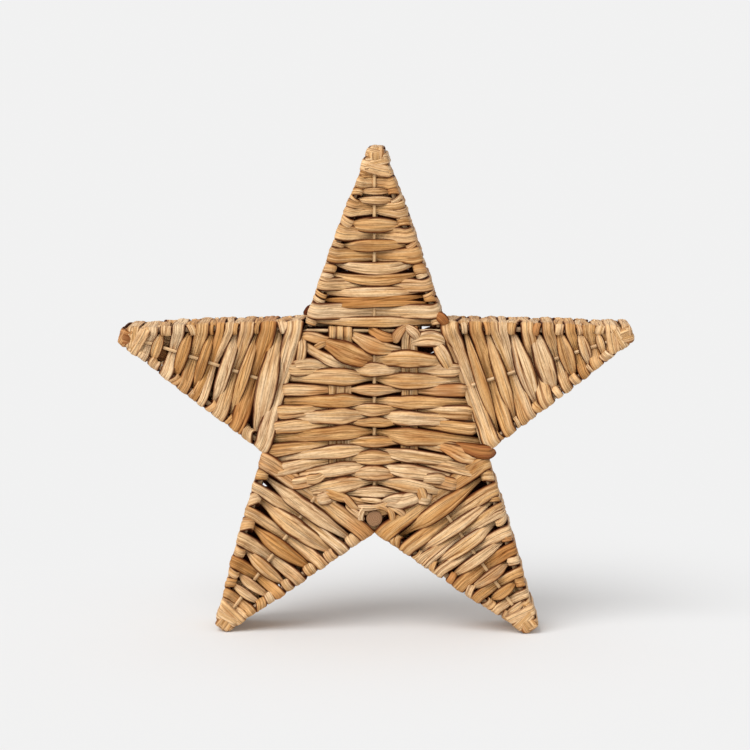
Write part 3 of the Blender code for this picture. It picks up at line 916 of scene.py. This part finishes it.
def turn_round_tip(work, angle, at, width, lean, warmth):
    """One close turn round a tip."""
    half = tip_half(at) - TURN_THICK / 2
    taper = max(math.sin(TIP_HALF_ANGLE), (at - TIP_CENTRE) / TIP_ROUND)
    deep = HALF_DEPTH + WIRE + 0.3 + TURN_THICK / 2
    corner = (
        (0.0, deep, 0, 1),
        (half * 0.6, deep, 0.1, 1),
        (half - 0.9, deep - 0.7, 0.7, 0.7),
        (half, HALF_DEPTH - 2.0, 1, 0.1),
        (half, HALF_DEPTH / 3, 1, 0),
    )
    around = [(x, -y, a, -b) for x, y, a, b in corner]
    around += [(x, y, a, b) for x, y, a, b in reversed(corner)]
    around += [(-x, y, -a, b) for x, y, a, b in corner[1:]]
    around += [(-x, -y, -a, -b) for x, y, a, b in reversed(corner[1:])]
    stations = []
    for across, y, sideways, forward in around:
        place = on_arm(angle, at + lean * across, across, y)
        way = arm_way(angle, abs(sideways) * taper, sideways, forward)
        stations.append((place, way, width, TURN_THICK))
    work.lay(stations, closed=True, fold=TURN_FOLD, tone=TURN_TONE, warmth=warmth, edges=TURN_EDGES)


print("a tip is", round(2 * tip_half(TIP_TURNS[0][0]), 1), "mm wide where its turns start")

# %% [markdown]
# A strap is said as marks along the arm: how far along, how far out of the face, how much it faces
# outwards and forwards, and how wide. The two side straps start deep inside the arm, under its
# rows, so that no gap shows behind the turns.

# %% Straps over the tips
STRAPS = ((-3.0, 183.0), (3.0, 183.0), (0.0, 184.6))
STRAP_WIDTH, STRAP_THICK = 5.2, 2.0
# STRAP_EDGES weakens the edge darkening of a strap, which is partly browning and partly painted shade.
STRAP_TONE, STRAP_FOLD, STRAP_EDGES = 0.6, 0.3, 0.6
TAIL = ((150.0, -6.5, 10.0), (159.0, -6.0, 8.5), (166.0, -3.4, 6.5))


def inner_strap(across, end):
    """Half of a strap under the turns, as (along, level, outwards, forwards, width)."""
    tail = [(along, level, 0, 1, wide) for along, level, wide in TAIL] if across else []
    over = ((170.5, 1.0, 0, 1), (177.5, 2.0, 0.1, 1), (end - 1.8, 1.7, 0.6, 0.8), (end, -2.0, 1, 0.1))
    return tail + [(*mark, STRAP_WIDTH) for mark in over]


def strap_over_tip(work, angle, across, marks, warmth):
    """A strap of leaf that goes over the end of an arm, from its front face to its back face."""
    outer = across / TIP_ROUND
    there = [(along, HALF_DEPTH + level, out, way, wide) for along, level, out, way, wide in marks]
    back = [(along, -depth, out, -way, wide) for along, depth, out, way, wide in reversed(there)]
    middle = (there[-1][0], 0.0, 1, 0, there[-1][4])
    stations = []
    for along, depth, out, way, wide in [*there, middle, *back]:
        place = on_arm(angle, along, across * wide / STRAP_WIDTH, -depth)
        facing = arm_way(angle, out * (1 - abs(outer) / 2), out * outer, -way)
        stations.append((place, facing, wide, STRAP_THICK))
    work.lay(stations, tone=STRAP_TONE, fold=STRAP_FOLD, warmth=warmth, edges=STRAP_EDGES)


print("straps over a tip", len(STRAPS))

# %% Wrap the five tips
TIP_SEED = 40
LAST_STRAP = (
    (175.0, 1.6, 0, 1, 6.0), (179.0, 3.0, 0.2, 1, 10.5), (183.2, 2.4, 0.6, 0.8, 11.5),
    (185.1, -1.5, 1, 0.15, 10.5), (185.2, -9.0, 1, 0, 10.0),
)
TURN_LEAN = (0.10, 0.28)
TIP_WARMTH, WARM_TIPS = 0.1, {"left": 0.8}


def wrap_tip(name, seed):
    """The straps over an arm's end and the close turns round it."""
    work = Leafwork(f"tip_leaf_{name}", seed)
    angle = ARM_ANGLES[name]
    warm = WARM_TIPS.get(name, TIP_WARMTH)
    for across, end in STRAPS:
        strap_over_tip(work, angle, across, inner_strap(across, end), warm)
    lean = work.draw.choice([-1, 1])
    for at, width in TIP_TURNS:
        warmth = warm if at > TIP_CENTRE else TIP_WARMTH
        turn_round_tip(work, angle, at, width, lean * work.draw.uniform(*TURN_LEAN), warmth)
        lean = -lean
    strap_over_tip(work, angle, 0.0, LAST_STRAP, warm)
    leaf_piece(work, "tip_leaf", f"tip_cap_{name}")


for place, name in enumerate(ARM_NAMES):
    wrap_tip(name, TIP_SEED + place)
print("tips wrapped", len(ARM_NAMES))

# %% [markdown]
# ## The middle
#
# The middle is a plain weave too, with five uprights: the ring's two edges, two broad bands and
# the spoke. A row that goes over the bands makes a long lens on each side, and the next one makes
# a short lens over the spoke. One mat with a bump would be closed between its rows and straight at
# its edge, so each row is a strand of its own. The heights and how tall each lens is are read from
# the photo, in millimetres over the star's centre. The back is woven the same way, as seen from
# behind.

# %% Rows of the middle
LENSES_OVER_SPOKE = (
    (32.5, 10.5), (18.3, 8.0), (4.9, 9.5), (-3.9, 7.0), (-17.2, 8.8), (-28.8, 11.0),
    (-39.2, 10.5), (-52.5, 9.0),
)
LENSES_OVER_BANDS = (
    ((27.6, 12.5), (24.8, 11.5)), ((11.2, 9.5), (10.3, 10.0)), ((1.0, 12.0), (-0.4, 11.2)),
    ((-10.2, 11.2), (-12.4, 12.2)), ((-22.6, 10.0), (-25.4, 10.0)),
    ((-34.5, 10.0), (-36.0, 10.4)), ((-45.7, 11.0), (-45.5, 10.0)),
)
WARM_ROWS = (-39.2, 18.3)
WARM_ROW, PLAIN_ROW = 0.55, 0.05
RING_SLOPES = (math.radians(18), math.radians(54))


def ring_half(height):
    """Half the middle's width at a height over the star's centre."""
    upper_slope, lower_slope = RING_SLOPES
    upper = (RING_FROM_CENTRE - height * math.sin(upper_slope)) / math.cos(upper_slope)
    lower = (RING_FROM_CENTRE + height * math.sin(lower_slope)) / math.cos(lower_slope)
    return min(upper, lower)


def in_middle(face, x, z, level):
    """A place on the middle, in metres of the frame, as seen from its own side."""
    return -face * x * MM, face * (HALF_DEPTH + level) * MM, (z + CENTRE_HEIGHT) * MM


middle_rows = len(LENSES_OVER_SPOKE) + len(LENSES_OVER_BANDS)
print("the middle has", middle_rows, "rows and is", round(2 * ring_half(0)), "mm wide")

# %% [markdown]
# Each row is said by half of its path again, as marks of how far across, how far out of the face
# and how wide. The marks keep their distance from the band and from the ring's edge, so one
# function fits rows of any length. Low rows droop at their ends, as on the real star.

# %% One row across the middle
BAND_PLACE, UNDER_WIDTH, OUTER_WIDTH = 24.0, 3.8, 9.6
MIDDLE_FULLNESS, BACK_UNDER = 1.07, 6.0
DROOP_BELOW, DROOP = 18.0, 0.20
STEP_LENGTH, DROOP_LENGTH = 14, 70
MIDDLE_THICK = 2.9


def marks_over_bands(half, tall):
    """Half of a row that goes over a band, as (across, level, width)."""
    band = min(BAND_PLACE, half * 0.6)
    marks = [(0.0, -SPOKE - 1.5, UNDER_WIDTH), (band * 0.42, 0.6, 0.66 * tall)]
    marks += [(band * 0.86, 2.6, tall), (band * 1.25, 2.4, 0.92 * tall)]
    marks += [((band * 1.3 + half) / 2 + 2, 0.2, 0.70 * tall)]
    return marks + [(half - 2.5, -2.4, 0.66 * tall), (half + 2.0, -4.6, 0.6 * tall)]


def marks_over_spoke(half, tall):
    """Half of a row that goes over the spoke and the ring's edge."""
    band = min(BAND_PLACE, half * 0.62)
    marks = [(0.0, SPOKE + 1.6, tall), (band * 0.34, 1.6, 0.80 * tall)]
    marks += [(band * 0.70, -0.9, 0.42 * tall), (band * 1.05, -2.0, UNDER_WIDTH)]
    marks += [((band + half) / 2 - 1, 0.8, 0.85 * OUTER_WIDTH), (half - 5.0, 2.2, OUTER_WIDTH)]
    return marks + [(half - 1.0, 1.2, 0.9 * OUTER_WIDTH), (half + 1.6, -3.6, 0.7 * OUTER_WIDTH)]


print("a row over the bands has", 2 * len(marks_over_bands(ring_half(0), 1)) - 1, "marks")

# %% Laying a row of the middle
def weave_row(work, face, marks_of, left, right, **looks):
    """One row across the middle. Each side has its height and how tall it is there."""
    draw = work.draw
    between = (left[0] + right[0]) / 2
    row_there = []
    for side, (height, tall) in ((-1, left), (1, right)):
        half = ring_half(height)
        droop = max(0.0, DROOP_BELOW - height) * DROOP
        for across, level, width in marks_of(half, tall):
            if face == FRONT:
                width = width * MIDDLE_FULLNESS
            else:
                width = max(width * BACK_FULLNESS, BACK_UNDER)
            z = between + (height - between) * min(1.0, across / STEP_LENGTH)
            z -= droop * min(1.0, across / DROOP_LENGTH) ** 1.5
            if across > 0 or side > 0:
                row_there.append((side * across, z + draw.uniform(-0.3, 0.3), level, width))
    row_there.sort()
    stations = []
    for x, z, level, width in row_there:
        stations.append((in_middle(face, x, z, level), (0, face, 0), width, MIDDLE_THICK))
    work.lay(stations, **looks)


print("rows of the middle ready")

# %% [markdown]
# The weaver starts under the top side of the ring and ends over the peg, and there the order
# breaks up into short slanted pieces, knots and a little braid. Each of them is one free strand
# through a few marks that are read from the photo: how far right, how high, how far out of the
# face, and how wide. Its tone and its warmth come first. Knots made by simulation would never lie
# where the weaver laid them.

# %% Short pieces at the top of the middle
TOP_PIECES = (
    (0.6, 0.0, ((-58, 34, -1.0, 5), (-52, 36, 2.4, 8.0), (-43, 36.5, 2.0, 8.0), (-33, 34.5, -0.5, 6),
                (-24, 33, -2.2, 4))),
    (0.7, 0.1, ((-50, 51, -1.5, 4), (-45, 47.5, 2.0, 6.5), (-36, 42, 2.8, 8), (-27, 37.5, 2.0, 8),
                (-18, 34, -2.2, 5))),
    (0.45, 0.55, ((-38, 52.5, -0.5, 4), (-31, 50, 2.8, 10), (-20, 45, 4.2, 15.5),
                  (-9, 40.5, 3.2, 13), (0, 37.5, -1.8, 6))),
    (0.5, 0.1, ((-1, 38.5, -2.2, 5), (7, 40, 1.6, 9.5), (19, 40.5, 3.6, 13), (31, 40, 3.4, 12),
                (41, 39, 2.0, 9), (49, 38, -1.5, 6))),
    (0.65, 0.3, ((-16.5, 57.5, -1.0, 4), (-11, 54.5, 2.8, 8.5), (-1, 49.5, 4.2, 12.5),
                 (9, 47.2, 3.2, 9.5), (19, 46, -1.8, 5))),
    (0.35, 0.7, ((-4, 61.5, -1.0, 5), (1, 58, 3.0, 7), (7, 55.5, 4.6, 8.2), (13, 54.5, 2.4, 6),
                 (17, 53, -0.5, 4))),
    (0.85, 0.25, ((22, 62.5, 0.0, 4), (18.5, 60.2, 4.6, 6.5), (15.6, 56.5, 4.8, 7.5),
                  (14, 51, 0.5, 4))),
    (0.85, 0.25, ((21, 62.5, 0.0, 4), (25, 60.5, 4.6, 6.5), (28.5, 57.5, 4.8, 7.5),
                  (30.5, 52.5, 0.5, 4))),
    (0.9, 0.0, ((25, 51, -0.5, 5), (31, 53.5, 3.0, 10), (39, 54.5, 3.8, 11.5), (46, 53, 3.2, 10),
                (51, 50, -1.5, 6))),
    (0.7, 0.0, ((41, 52, 0.0, 5), (45, 47, 3.6, 9), (49, 40, 4.0, 9.5), (52, 33, 1.0, 7),
                (54, 28, -2.0, 5))),
    (0.55, 0.4, ((-51, 55.5, 0.0, 5), (-46, 56, 3.2, 7.5), (-39, 54.5, 3.6, 7.5),
                 (-33, 53.5, 1.6, 5), (-29, 53.5, -1.0, 4))),
    (0.6, 0.2, ((-42, 47, 0.5, 3), (-37, 50, 3.6, 5), (-32, 51.5, 1.0, 3))),
    (-0.2, 1.6, ((42, 71, 1.0, 5), (46, 69, 5.2, 8), (50, 64, 3.0, 6))),
    (0.6, 0.45, ((43, -19.5, -0.5, 4), (52, -22.5, 3.0, 9), (61, -26, 4.0, 11.5),
                 (70, -28.5, 3.2, 9), (76, -29.5, -0.5, 6))),
    (-0.3, 1.8, ((55, -19.5, 0.5, 4), (63, -21.0, 4.4, 7.5), (72, -23.3, 5.4, 11.0),
                 (79.5, -24.0, 3.6, 11.0), (81.5, -23, -5.0, 7))),
    (0.8, 0.0, ((-50, 56, -0.5, 5), (-49.5, 50, 3.4, 7), (-50, 43.5, 3.6, 7.5),
                (-51.5, 37, 0.5, 6))),
)
print("pieces at the top", len(TOP_PIECES))

# %% Short pieces at the bottom of the middle
BOTTOM_PIECES = (
    (0.7, 0.0, ((-50, -44, -0.5, 4), (-44, -44, 2.8, 7.5), (-38, -42.5, 3.4, 7),
                (-32, -38, -0.5, 4))),
    (0.4, 0.2, ((-38, -50, -0.5, 6), (-30, -53.5, 2.2, 8), (-22, -56.5, 2.0, 7),
                (-16, -59, -0.5, 4))),
    (0.8, 0.0, ((32, -44, -0.5, 4), (38, -43, 3.4, 8), (45, -43, 3.4, 8.5), (51, -45, -0.5, 5))),
    (0.4, 0.1, ((29, -45, 0.5, 5), (32, -51, 2.4, 7.5), (34, -57, 2.0, 7), (35, -61, -1.0, 4))),
    (0.5, 0.1, ((-22, -57, -1.0, 5), (-10, -60, 0.6, 6), (2, -61, 0.6, 6), (16, -60, 0.6, 6),
                (26, -56, -1.0, 5))),
    (0.5, 0.1, ((-16, -64, -1.0, 5), (-6, -66.5, 0.6, 6), (6, -66.5, 0.6, 6), (16, -64, -1.0, 5))),
    (0.9, 0.0, ((3, -62.5, 1.0, 4), (10, -59, 3.8, 8.5), (19, -58.5, 4.0, 12), (27, -56.5, 2.4, 11),
                (33, -54, -1.0, 6))),
    (0.7, 0.1, ((-10, -58, 0.5, 3), (-4, -58.2, 3.0, 4.4), (3, -59, 3.0, 4.4), (7, -60.5, 0.5, 3))),
    (0.8, 0.1, ((-14, -63, 0.5, 3), (-7, -63.2, 4.2, 5), (2, -62.6, 4.4, 5), (11, -59.5, 2.6, 4),
                (14, -57, 0.5, 3))),
    (0.7, 0.2, ((-10, -66, 1.0, 3), (-14, -63, 3.8, 5.5), (-18, -58.5, 3.6, 6),
                (-22, -55, 0.5, 4))),
    (0.6, 0.2, ((-20, -62, 0.5, 3), (-15.5, -65, 3.4, 5), (-10.5, -69, 3.0, 5), (-7, -73, 0.5, 4))),
    (0.7, 0.1, ((-5, -62, 2.0, 4), (-8.4, -66, 3.6, 4.8), (-9.6, -71, 2.8, 4.8), (-8, -76, 0.0, 4))),
    (0.6, 0.2, ((-5, -64, 2.0, 3), (1, -62.6, 4.0, 3.6), (7, -63.6, 4.0, 3.8), (12, -68, 1.0, 3))),
    (0.5, 0.2, ((8, -62, 2.0, 4), (11.5, -66.5, 3.4, 5.2), (12.5, -71, 2.4, 4.6), (11, -75, 0.0, 4))),
    (0.8, 0.1, ((10, -62.5, 2.0, 3), (15, -64.2, 3.8, 5), (19.5, -67.5, 2.4, 5), (21, -71, 0.0, 4))),
)
print("pieces at the bottom", len(BOTTOM_PIECES))

# %% Weave the middle
MIDDLE_SEED = 60


def free_strand(work, face, marks, **looks):
    """A short strand through marks of (right, high, out, wide)."""
    stations = []
    for x, z, level, width in marks:
        stations.append((in_middle(face, x, z, level), (0, face, 0), width, MIDDLE_THICK))
    work.lay(stations, **looks)


def weave_middle(side_name, face, seed):
    """All the rows of one face's middle."""
    work = Leafwork(f"middle_leaf_{side_name}", seed)
    for height, tall in LENSES_OVER_SPOKE:
        warmth = WARM_ROW if height in WARM_ROWS else PLAIN_ROW
        weave_row(work, face, marks_over_spoke, (height, tall), (height, tall), warmth=warmth)
    for left, right in LENSES_OVER_BANDS:
        weave_row(work, face, marks_over_bands, left, right, warmth=PLAIN_ROW)
    for tone, warmth, marks in TOP_PIECES + BOTTOM_PIECES:
        free_strand(work, face, marks, tone=tone, warmth=warmth)
    leaf_piece(work, "dried_leaf", f"middle_weave_{side_name}")


for place, (side_name, face) in enumerate(FACES.items()):
    weave_middle(side_name, face, MIDDLE_SEED + place)
print("faces of the middle woven", len(FACES))

# %% [markdown]
# ## The bands
#
# The two uprights left and right of the spoke are bands of flat leaf, folded over the top side of
# the ring. Between the rows they show as ribs. A ribbed texture on one flat band would do from
# afar, but strands laid side by side give true ribs, also where they fold. Each starts behind the
# ring's top side and goes over it.

# %% Bands
BAND_SEED = 70
BAND_STRANDS = ((-29.0, 6.2), (-23.6, 6.2), (-18.2, 6.2), (21.4, 6.4), (27.0, 6.4))
BAND_THICK, BAND_WARMTH, BAND_FOLD = 1.7, 0.1, 0.4
BAND_PATH = ((-4.5, 55.0), (-3.2, 59.5), (0.0, 61.9), (2.6, 60.4), (2.4, 56.5), (0.3, 51.0),
             (0.0, 30.0), (0.0, 0.0), (0.0, -30.0), (-0.6, -46.0), (-2.0, -52.0))
FOLD_WAYS = ((0, -1, 0.3), (0, -1, 1), (0, 0, 1), (0, 1, 0.8))
BAND_SWAY = 0.3


def fold_bands(side_name, face, seed):
    """The band strands of one face."""
    work = Leafwork(f"band_leaf_{side_name}", seed)
    for x, width in BAND_STRANDS:
        stations = []
        for place, (level, height) in enumerate(BAND_PATH):
            side, out, up = FOLD_WAYS[place] if place < len(FOLD_WAYS) else (0, 1, 0)
            there = in_middle(face, x + work.draw.uniform(-BAND_SWAY, BAND_SWAY), height, level)
            stations.append((there, (side, out * face, up), width, BAND_THICK))
        work.lay(stations, warmth=BAND_WARMTH, fold=BAND_FOLD)
    nodes = [f"band_warp_{side_name}_{side}" for side in ("left", "right")]
    leaf_piece(work, "band_leaf", *nodes)


for place, (side_name, face) in enumerate(FACES.items()):
    fold_bands(side_name, face, BAND_SEED + place)
print("strands in the bands of a face", len(BAND_STRANDS))

# %% [markdown]
# ## The peg
#
# A cut stick is knocked through the bottom corner from front to back, and its sawn end shows. It
# has growth rings on its ends and long grain on its side. An image would have to be fitted to
# each end. Here both marks come from one attribute, which is the place in the stick measured from
# its pith: rings are a wave of the distance from it, and so they carry on through the wood.

# %% Wood
PEG_LIGHT = (0.37, 0.200, 0.100, 1.0)
PEG_DARK = (0.20, 0.092, 0.040, 1.0)
PEG_ROUGHNESS, PEG_GLOSS = 0.6, 0.2


def wood_material(name, light, dark, roughness, gloss):
    """Wood with rings on its ends and grain on its side, from the attribute 'pith'."""
    material, start, shader = new_material(name)
    pith = start.node("ShaderNodeAttribute", {"attribute_name": "pith"}, None, 1)
    wobble = pith.noise((0.35, 0.35, 0.02), 2.0)
    flat = pith.stretched((1.0, 1.0, 0.0))
    far = start.node("ShaderNodeVectorMath", {"operation": "LENGTH"}, {0: flat}, 1)
    rings = start.node("ShaderNodeMath", {"operation": "SINE"}, {0: far * 5.5 + wobble * 7.0})
    grain = pith.noise((2.2, 2.2, 0.10), 3.0)
    colour = (rings.step(-0.2, 1.0) * 0.55).between(light, dark)
    colour = colour.tint(grain.step(0.35, 0.75) * 0.5, dark)
    colour.into(shader, "Base Color")
    shader.inputs["Specular IOR Level"].default_value = gloss
    relief = {"Height": rings * 0.3 + grain, "Distance": 0.0005, "Strength": 0.6}
    start.node("ShaderNodeBump", None, relief).into(shader, "Normal")
    shader.inputs["Roughness"].default_value = roughness
    return material


wood = wood_material("peg_wood", PEG_LIGHT, PEG_DARK, PEG_ROUGHNESS, PEG_GLOSS)
print("wood nodes", len(wood.node_tree.nodes))

# %% [markdown]
# The stick itself is a turned shape: rings of points from one end to the other, joined by faces.
# A cylinder with a bevel would be exactly round. This one bulges a little, its ends are slightly
# domed and its rims are worn.

# %% Peg
PEG_SEED = 80
PEG_HEIGHT = -71.07
PEG_RADIUS, PEG_HALF_LENGTH = 5.9, 24.2
PEG_SIDES = 40
PEG_END = (0.45, 0.80, 0.93)
PEG_DOME = 0.35
PEG_RIM = ((0.985, 0.9), (1.0, 2.0))
PEG_MIDDLE = (-12.0, 0.0, 12.0)
PITH = (0.12, 0.08)


def make_peg(seed):
    """The stick, a little out of round, with worn rims."""
    draw = np.random.default_rng(seed)
    turns = np.linspace(0, 2 * np.pi, PEG_SIDES, endpoint=False)
    wavy = 1 - 0.025 * (1 + np.cos(2 * turns + 0.7)) - 0.012 * (1 + np.cos(5 * turns))
    end = [(share, -PEG_HALF_LENGTH + PEG_DOME * share**2) for share in PEG_END]
    end += [(share, -PEG_HALF_LENGTH + inwards) for share, inwards in PEG_RIM]
    rings = end + [(1.0, y) for y in PEG_MIDDLE] + [(share, -y) for share, y in reversed(end)]
    points = []
    for share, y in rings:
        rough = 1 + draw.uniform(-0.006, 0.006, PEG_SIDES)
        for turn, reach in zip(turns, share * PEG_RADIUS * wavy * rough):
            points.append((reach * math.cos(turn), y, reach * math.sin(turn)))
    faces = []
    for first in range(len(rings) - 1):
        for side in range(PEG_SIDES):
            there, turned = first * PEG_SIDES, (side + 1) % PEG_SIDES
            faces.append((there + side, there + turned, there + PEG_SIDES + turned,
                          there + PEG_SIDES + side))
    last = (len(rings) - 1) * PEG_SIDES
    faces.append(tuple(range(PEG_SIDES - 1, -1, -1)))
    faces.append(tuple(range(last, last + PEG_SIDES)))
    mesh = bpy.data.meshes.new("peg")
    places = [(x * MM, y * MM, (z + PEG_HEIGHT + CENTRE_HEIGHT) * MM) for x, y, z in points]
    mesh.from_pydata(places, [], faces)
    layer = mesh.attributes.new("pith", "FLOAT_VECTOR", "POINT")
    pith = [(x - PITH[0] * PEG_RADIUS, z - PITH[1] * PEG_RADIUS, y) for x, y, z in points]
    layer.data.foreach_set("vector", np.array(pith, np.float32).ravel())
    mesh.shade_smooth()
    mesh.materials.append(wood)
    obj = bpy.data.objects.new("peg", mesh)
    bpy.context.scene.collection.objects.link(obj)
    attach(obj, "root")
    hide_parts("corner_peg")
    print("peg", len(points), "points")


make_peg(PEG_SEED)

# %% [markdown]
# ## The wires
#
# The wires of the frame are right as they are packed, so they only get a finish. The spokes and
# the middle's ring show, and are coated in a straw colour that is worn and dusty in places. The
# wires of the arms hide under the leaf, and are darker. Their meshes have no attributes of their
# own, so the marks lie in the object's own coordinates.

# %% Wire finishes
STRAW_COAT, STRAW_WORN = (0.72, 0.46, 0.225, 1), (0.44, 0.23, 0.085, 1)
BROWN_COAT, BROWN_WORN = (0.40, 0.235, 0.105, 1), (0.20, 0.105, 0.042, 1)
WIRE_ROUGHNESS = 0.5
CLOUDS, SPECKS = (90.0, 90.0, 90.0), (700.0, 700.0, 700.0)


def wire_material(name, coat, worn, roughness):
    """A coated wire with worn specks."""
    material, start, shader = new_material(name)
    place = start.node("ShaderNodeTexCoord", None, None, 3)
    cloudy = place.noise(CLOUDS, 3.0)
    specks = place.noise(SPECKS, 2.0)
    share = cloudy.step(0.42, 0.66) * 0.6 + specks.step(0.60, 0.70) * 0.4
    share.between(coat, worn).into(shader, "Base Color")
    (cloudy * 0.3 + (roughness - 0.15)).into(shader, "Roughness")
    relief = {"Height": specks, "Distance": 0.0003, "Strength": 0.5}
    start.node("ShaderNodeBump", None, relief).into(shader, "Normal")
    return material


painted = wire_material("painted_wire", STRAW_COAT, STRAW_WORN, WIRE_ROUGHNESS)
plain = wire_material("frame_wire", BROWN_COAT, BROWN_WORN, WIRE_ROUGHNESS)
for name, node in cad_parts.items():
    if name.startswith(("arm_wire", "arm_spoke", "middle_ring", "middle_spoke")):
        node.material_slots[0].material = plain if name.startswith("arm_wire") else painted
        node.data.shade_smooth()
print("wires finished")

# %% [markdown]
# ## The floor
#
# The photo has a white floor that runs into a white backdrop without a line between them. A studio
# bends one sheet of paper up behind the object, but the bend takes a shade of its own. Here a plain
# floor takes the shadow near the star and fades, further out, to the same even white as a wide
# tube that stands round everything. The tube lights nothing and throws no shadow.

# %% Floor and backdrop
WHITE = 0.882
NEAR, FAR = 0.04, 0.48
FLOOR_WHITE = (0.775, 0.775, 0.775, 1)
FLOOR_SIZE, FLOOR_DROP = 60.0, 0.0002
BACKDROP_RADIUS, BACKDROP_DEPTH = 18.0, 50.0


def put_on_stage(name, material):
    """Makes the shape that was added last a part of the stage."""
    shape = bpy.context.object
    shape.name = name
    shape.data.materials.append(material)
    return shape


backdrop_material, _, shader = new_material("backdrop_white")
shader.inputs["Base Color"].default_value = (0, 0, 0, 1)
shader.inputs["Specular IOR Level"].default_value = 0
shader.inputs["Emission Color"].default_value = (WHITE, WHITE, WHITE, 1)
shader.inputs["Emission Strength"].default_value = 1.0
tube = {"radius": BACKDROP_RADIUS, "depth": BACKDROP_DEPTH, "end_fill_type": "NOTHING"}
bpy.ops.mesh.primitive_cylinder_add(**tube)
backdrop = put_on_stage("backdrop", backdrop_material)
backdrop.visible_diffuse = False
backdrop.visible_glossy = False
backdrop.visible_shadow = False
print("backdrop", BACKDROP_RADIUS, "m away")

# %% Floor
floor_material, start, shader = new_material("floor_white")
shader.inputs["Base Color"].default_value = FLOOR_WHITE
shader.inputs["Specular IOR Level"].default_value = 0
place = start.node("ShaderNodeNewGeometry")
distance = start.node("ShaderNodeVectorMath", {"operation": "LENGTH"}, {0: place}, 1)
glow = start.node("ShaderNodeEmission", None, {"Color": (WHITE, WHITE, WHITE, 1)})
inputs = {0: distance.step(NEAR, FAR), 1: Shade(start.tree, shader.outputs[0]), 2: glow}
mixed = start.node("ShaderNodeMixShader", None, inputs)
mixed.into(start.tree.nodes["Material Output"], "Surface")
bpy.ops.mesh.primitive_plane_add(size=FLOOR_SIZE, location=(0, 0, -FLOOR_DROP))
put_on_stage("floor", floor_material)
print("the floor fades from", NEAR, "to", FAR, "m")

# %% [markdown]
# ## The light
#
# The shadow falls softly to the right and a little back, so the light stands high up at the front
# left and is large. A big area lamp would do it too, but its light would grow weaker across the
# star. A sun with a wide angle is as soft and is even all over. The white world fills in the rest.

# %% Light
WORLD_STRENGTH = 0.60
SUN_STRENGTH, SUN_WIDTH = 2.45, math.radians(46)
TO_THE_SUN = Vector((-0.42, -0.56, 0.72))

world = bpy.data.worlds.new("studio")
world.use_nodes = True
world.node_tree.nodes["Background"].inputs["Color"].default_value = (1, 1, 1, 1)
world.node_tree.nodes["Background"].inputs["Strength"].default_value = WORLD_STRENGTH
bpy.context.scene.world = world

sun_data = bpy.data.lights.new("soft_key", "SUN")
sun_data.energy = SUN_STRENGTH
sun_data.angle = SUN_WIDTH
sun = bpy.data.objects.new("soft_key", sun_data)
sun.rotation_euler = TO_THE_SUN.to_track_quat("Z", "Y").to_euler()
bpy.context.scene.collection.objects.link(sun)
print("the light is", round(math.degrees(SUN_WIDTH)), "degrees wide")
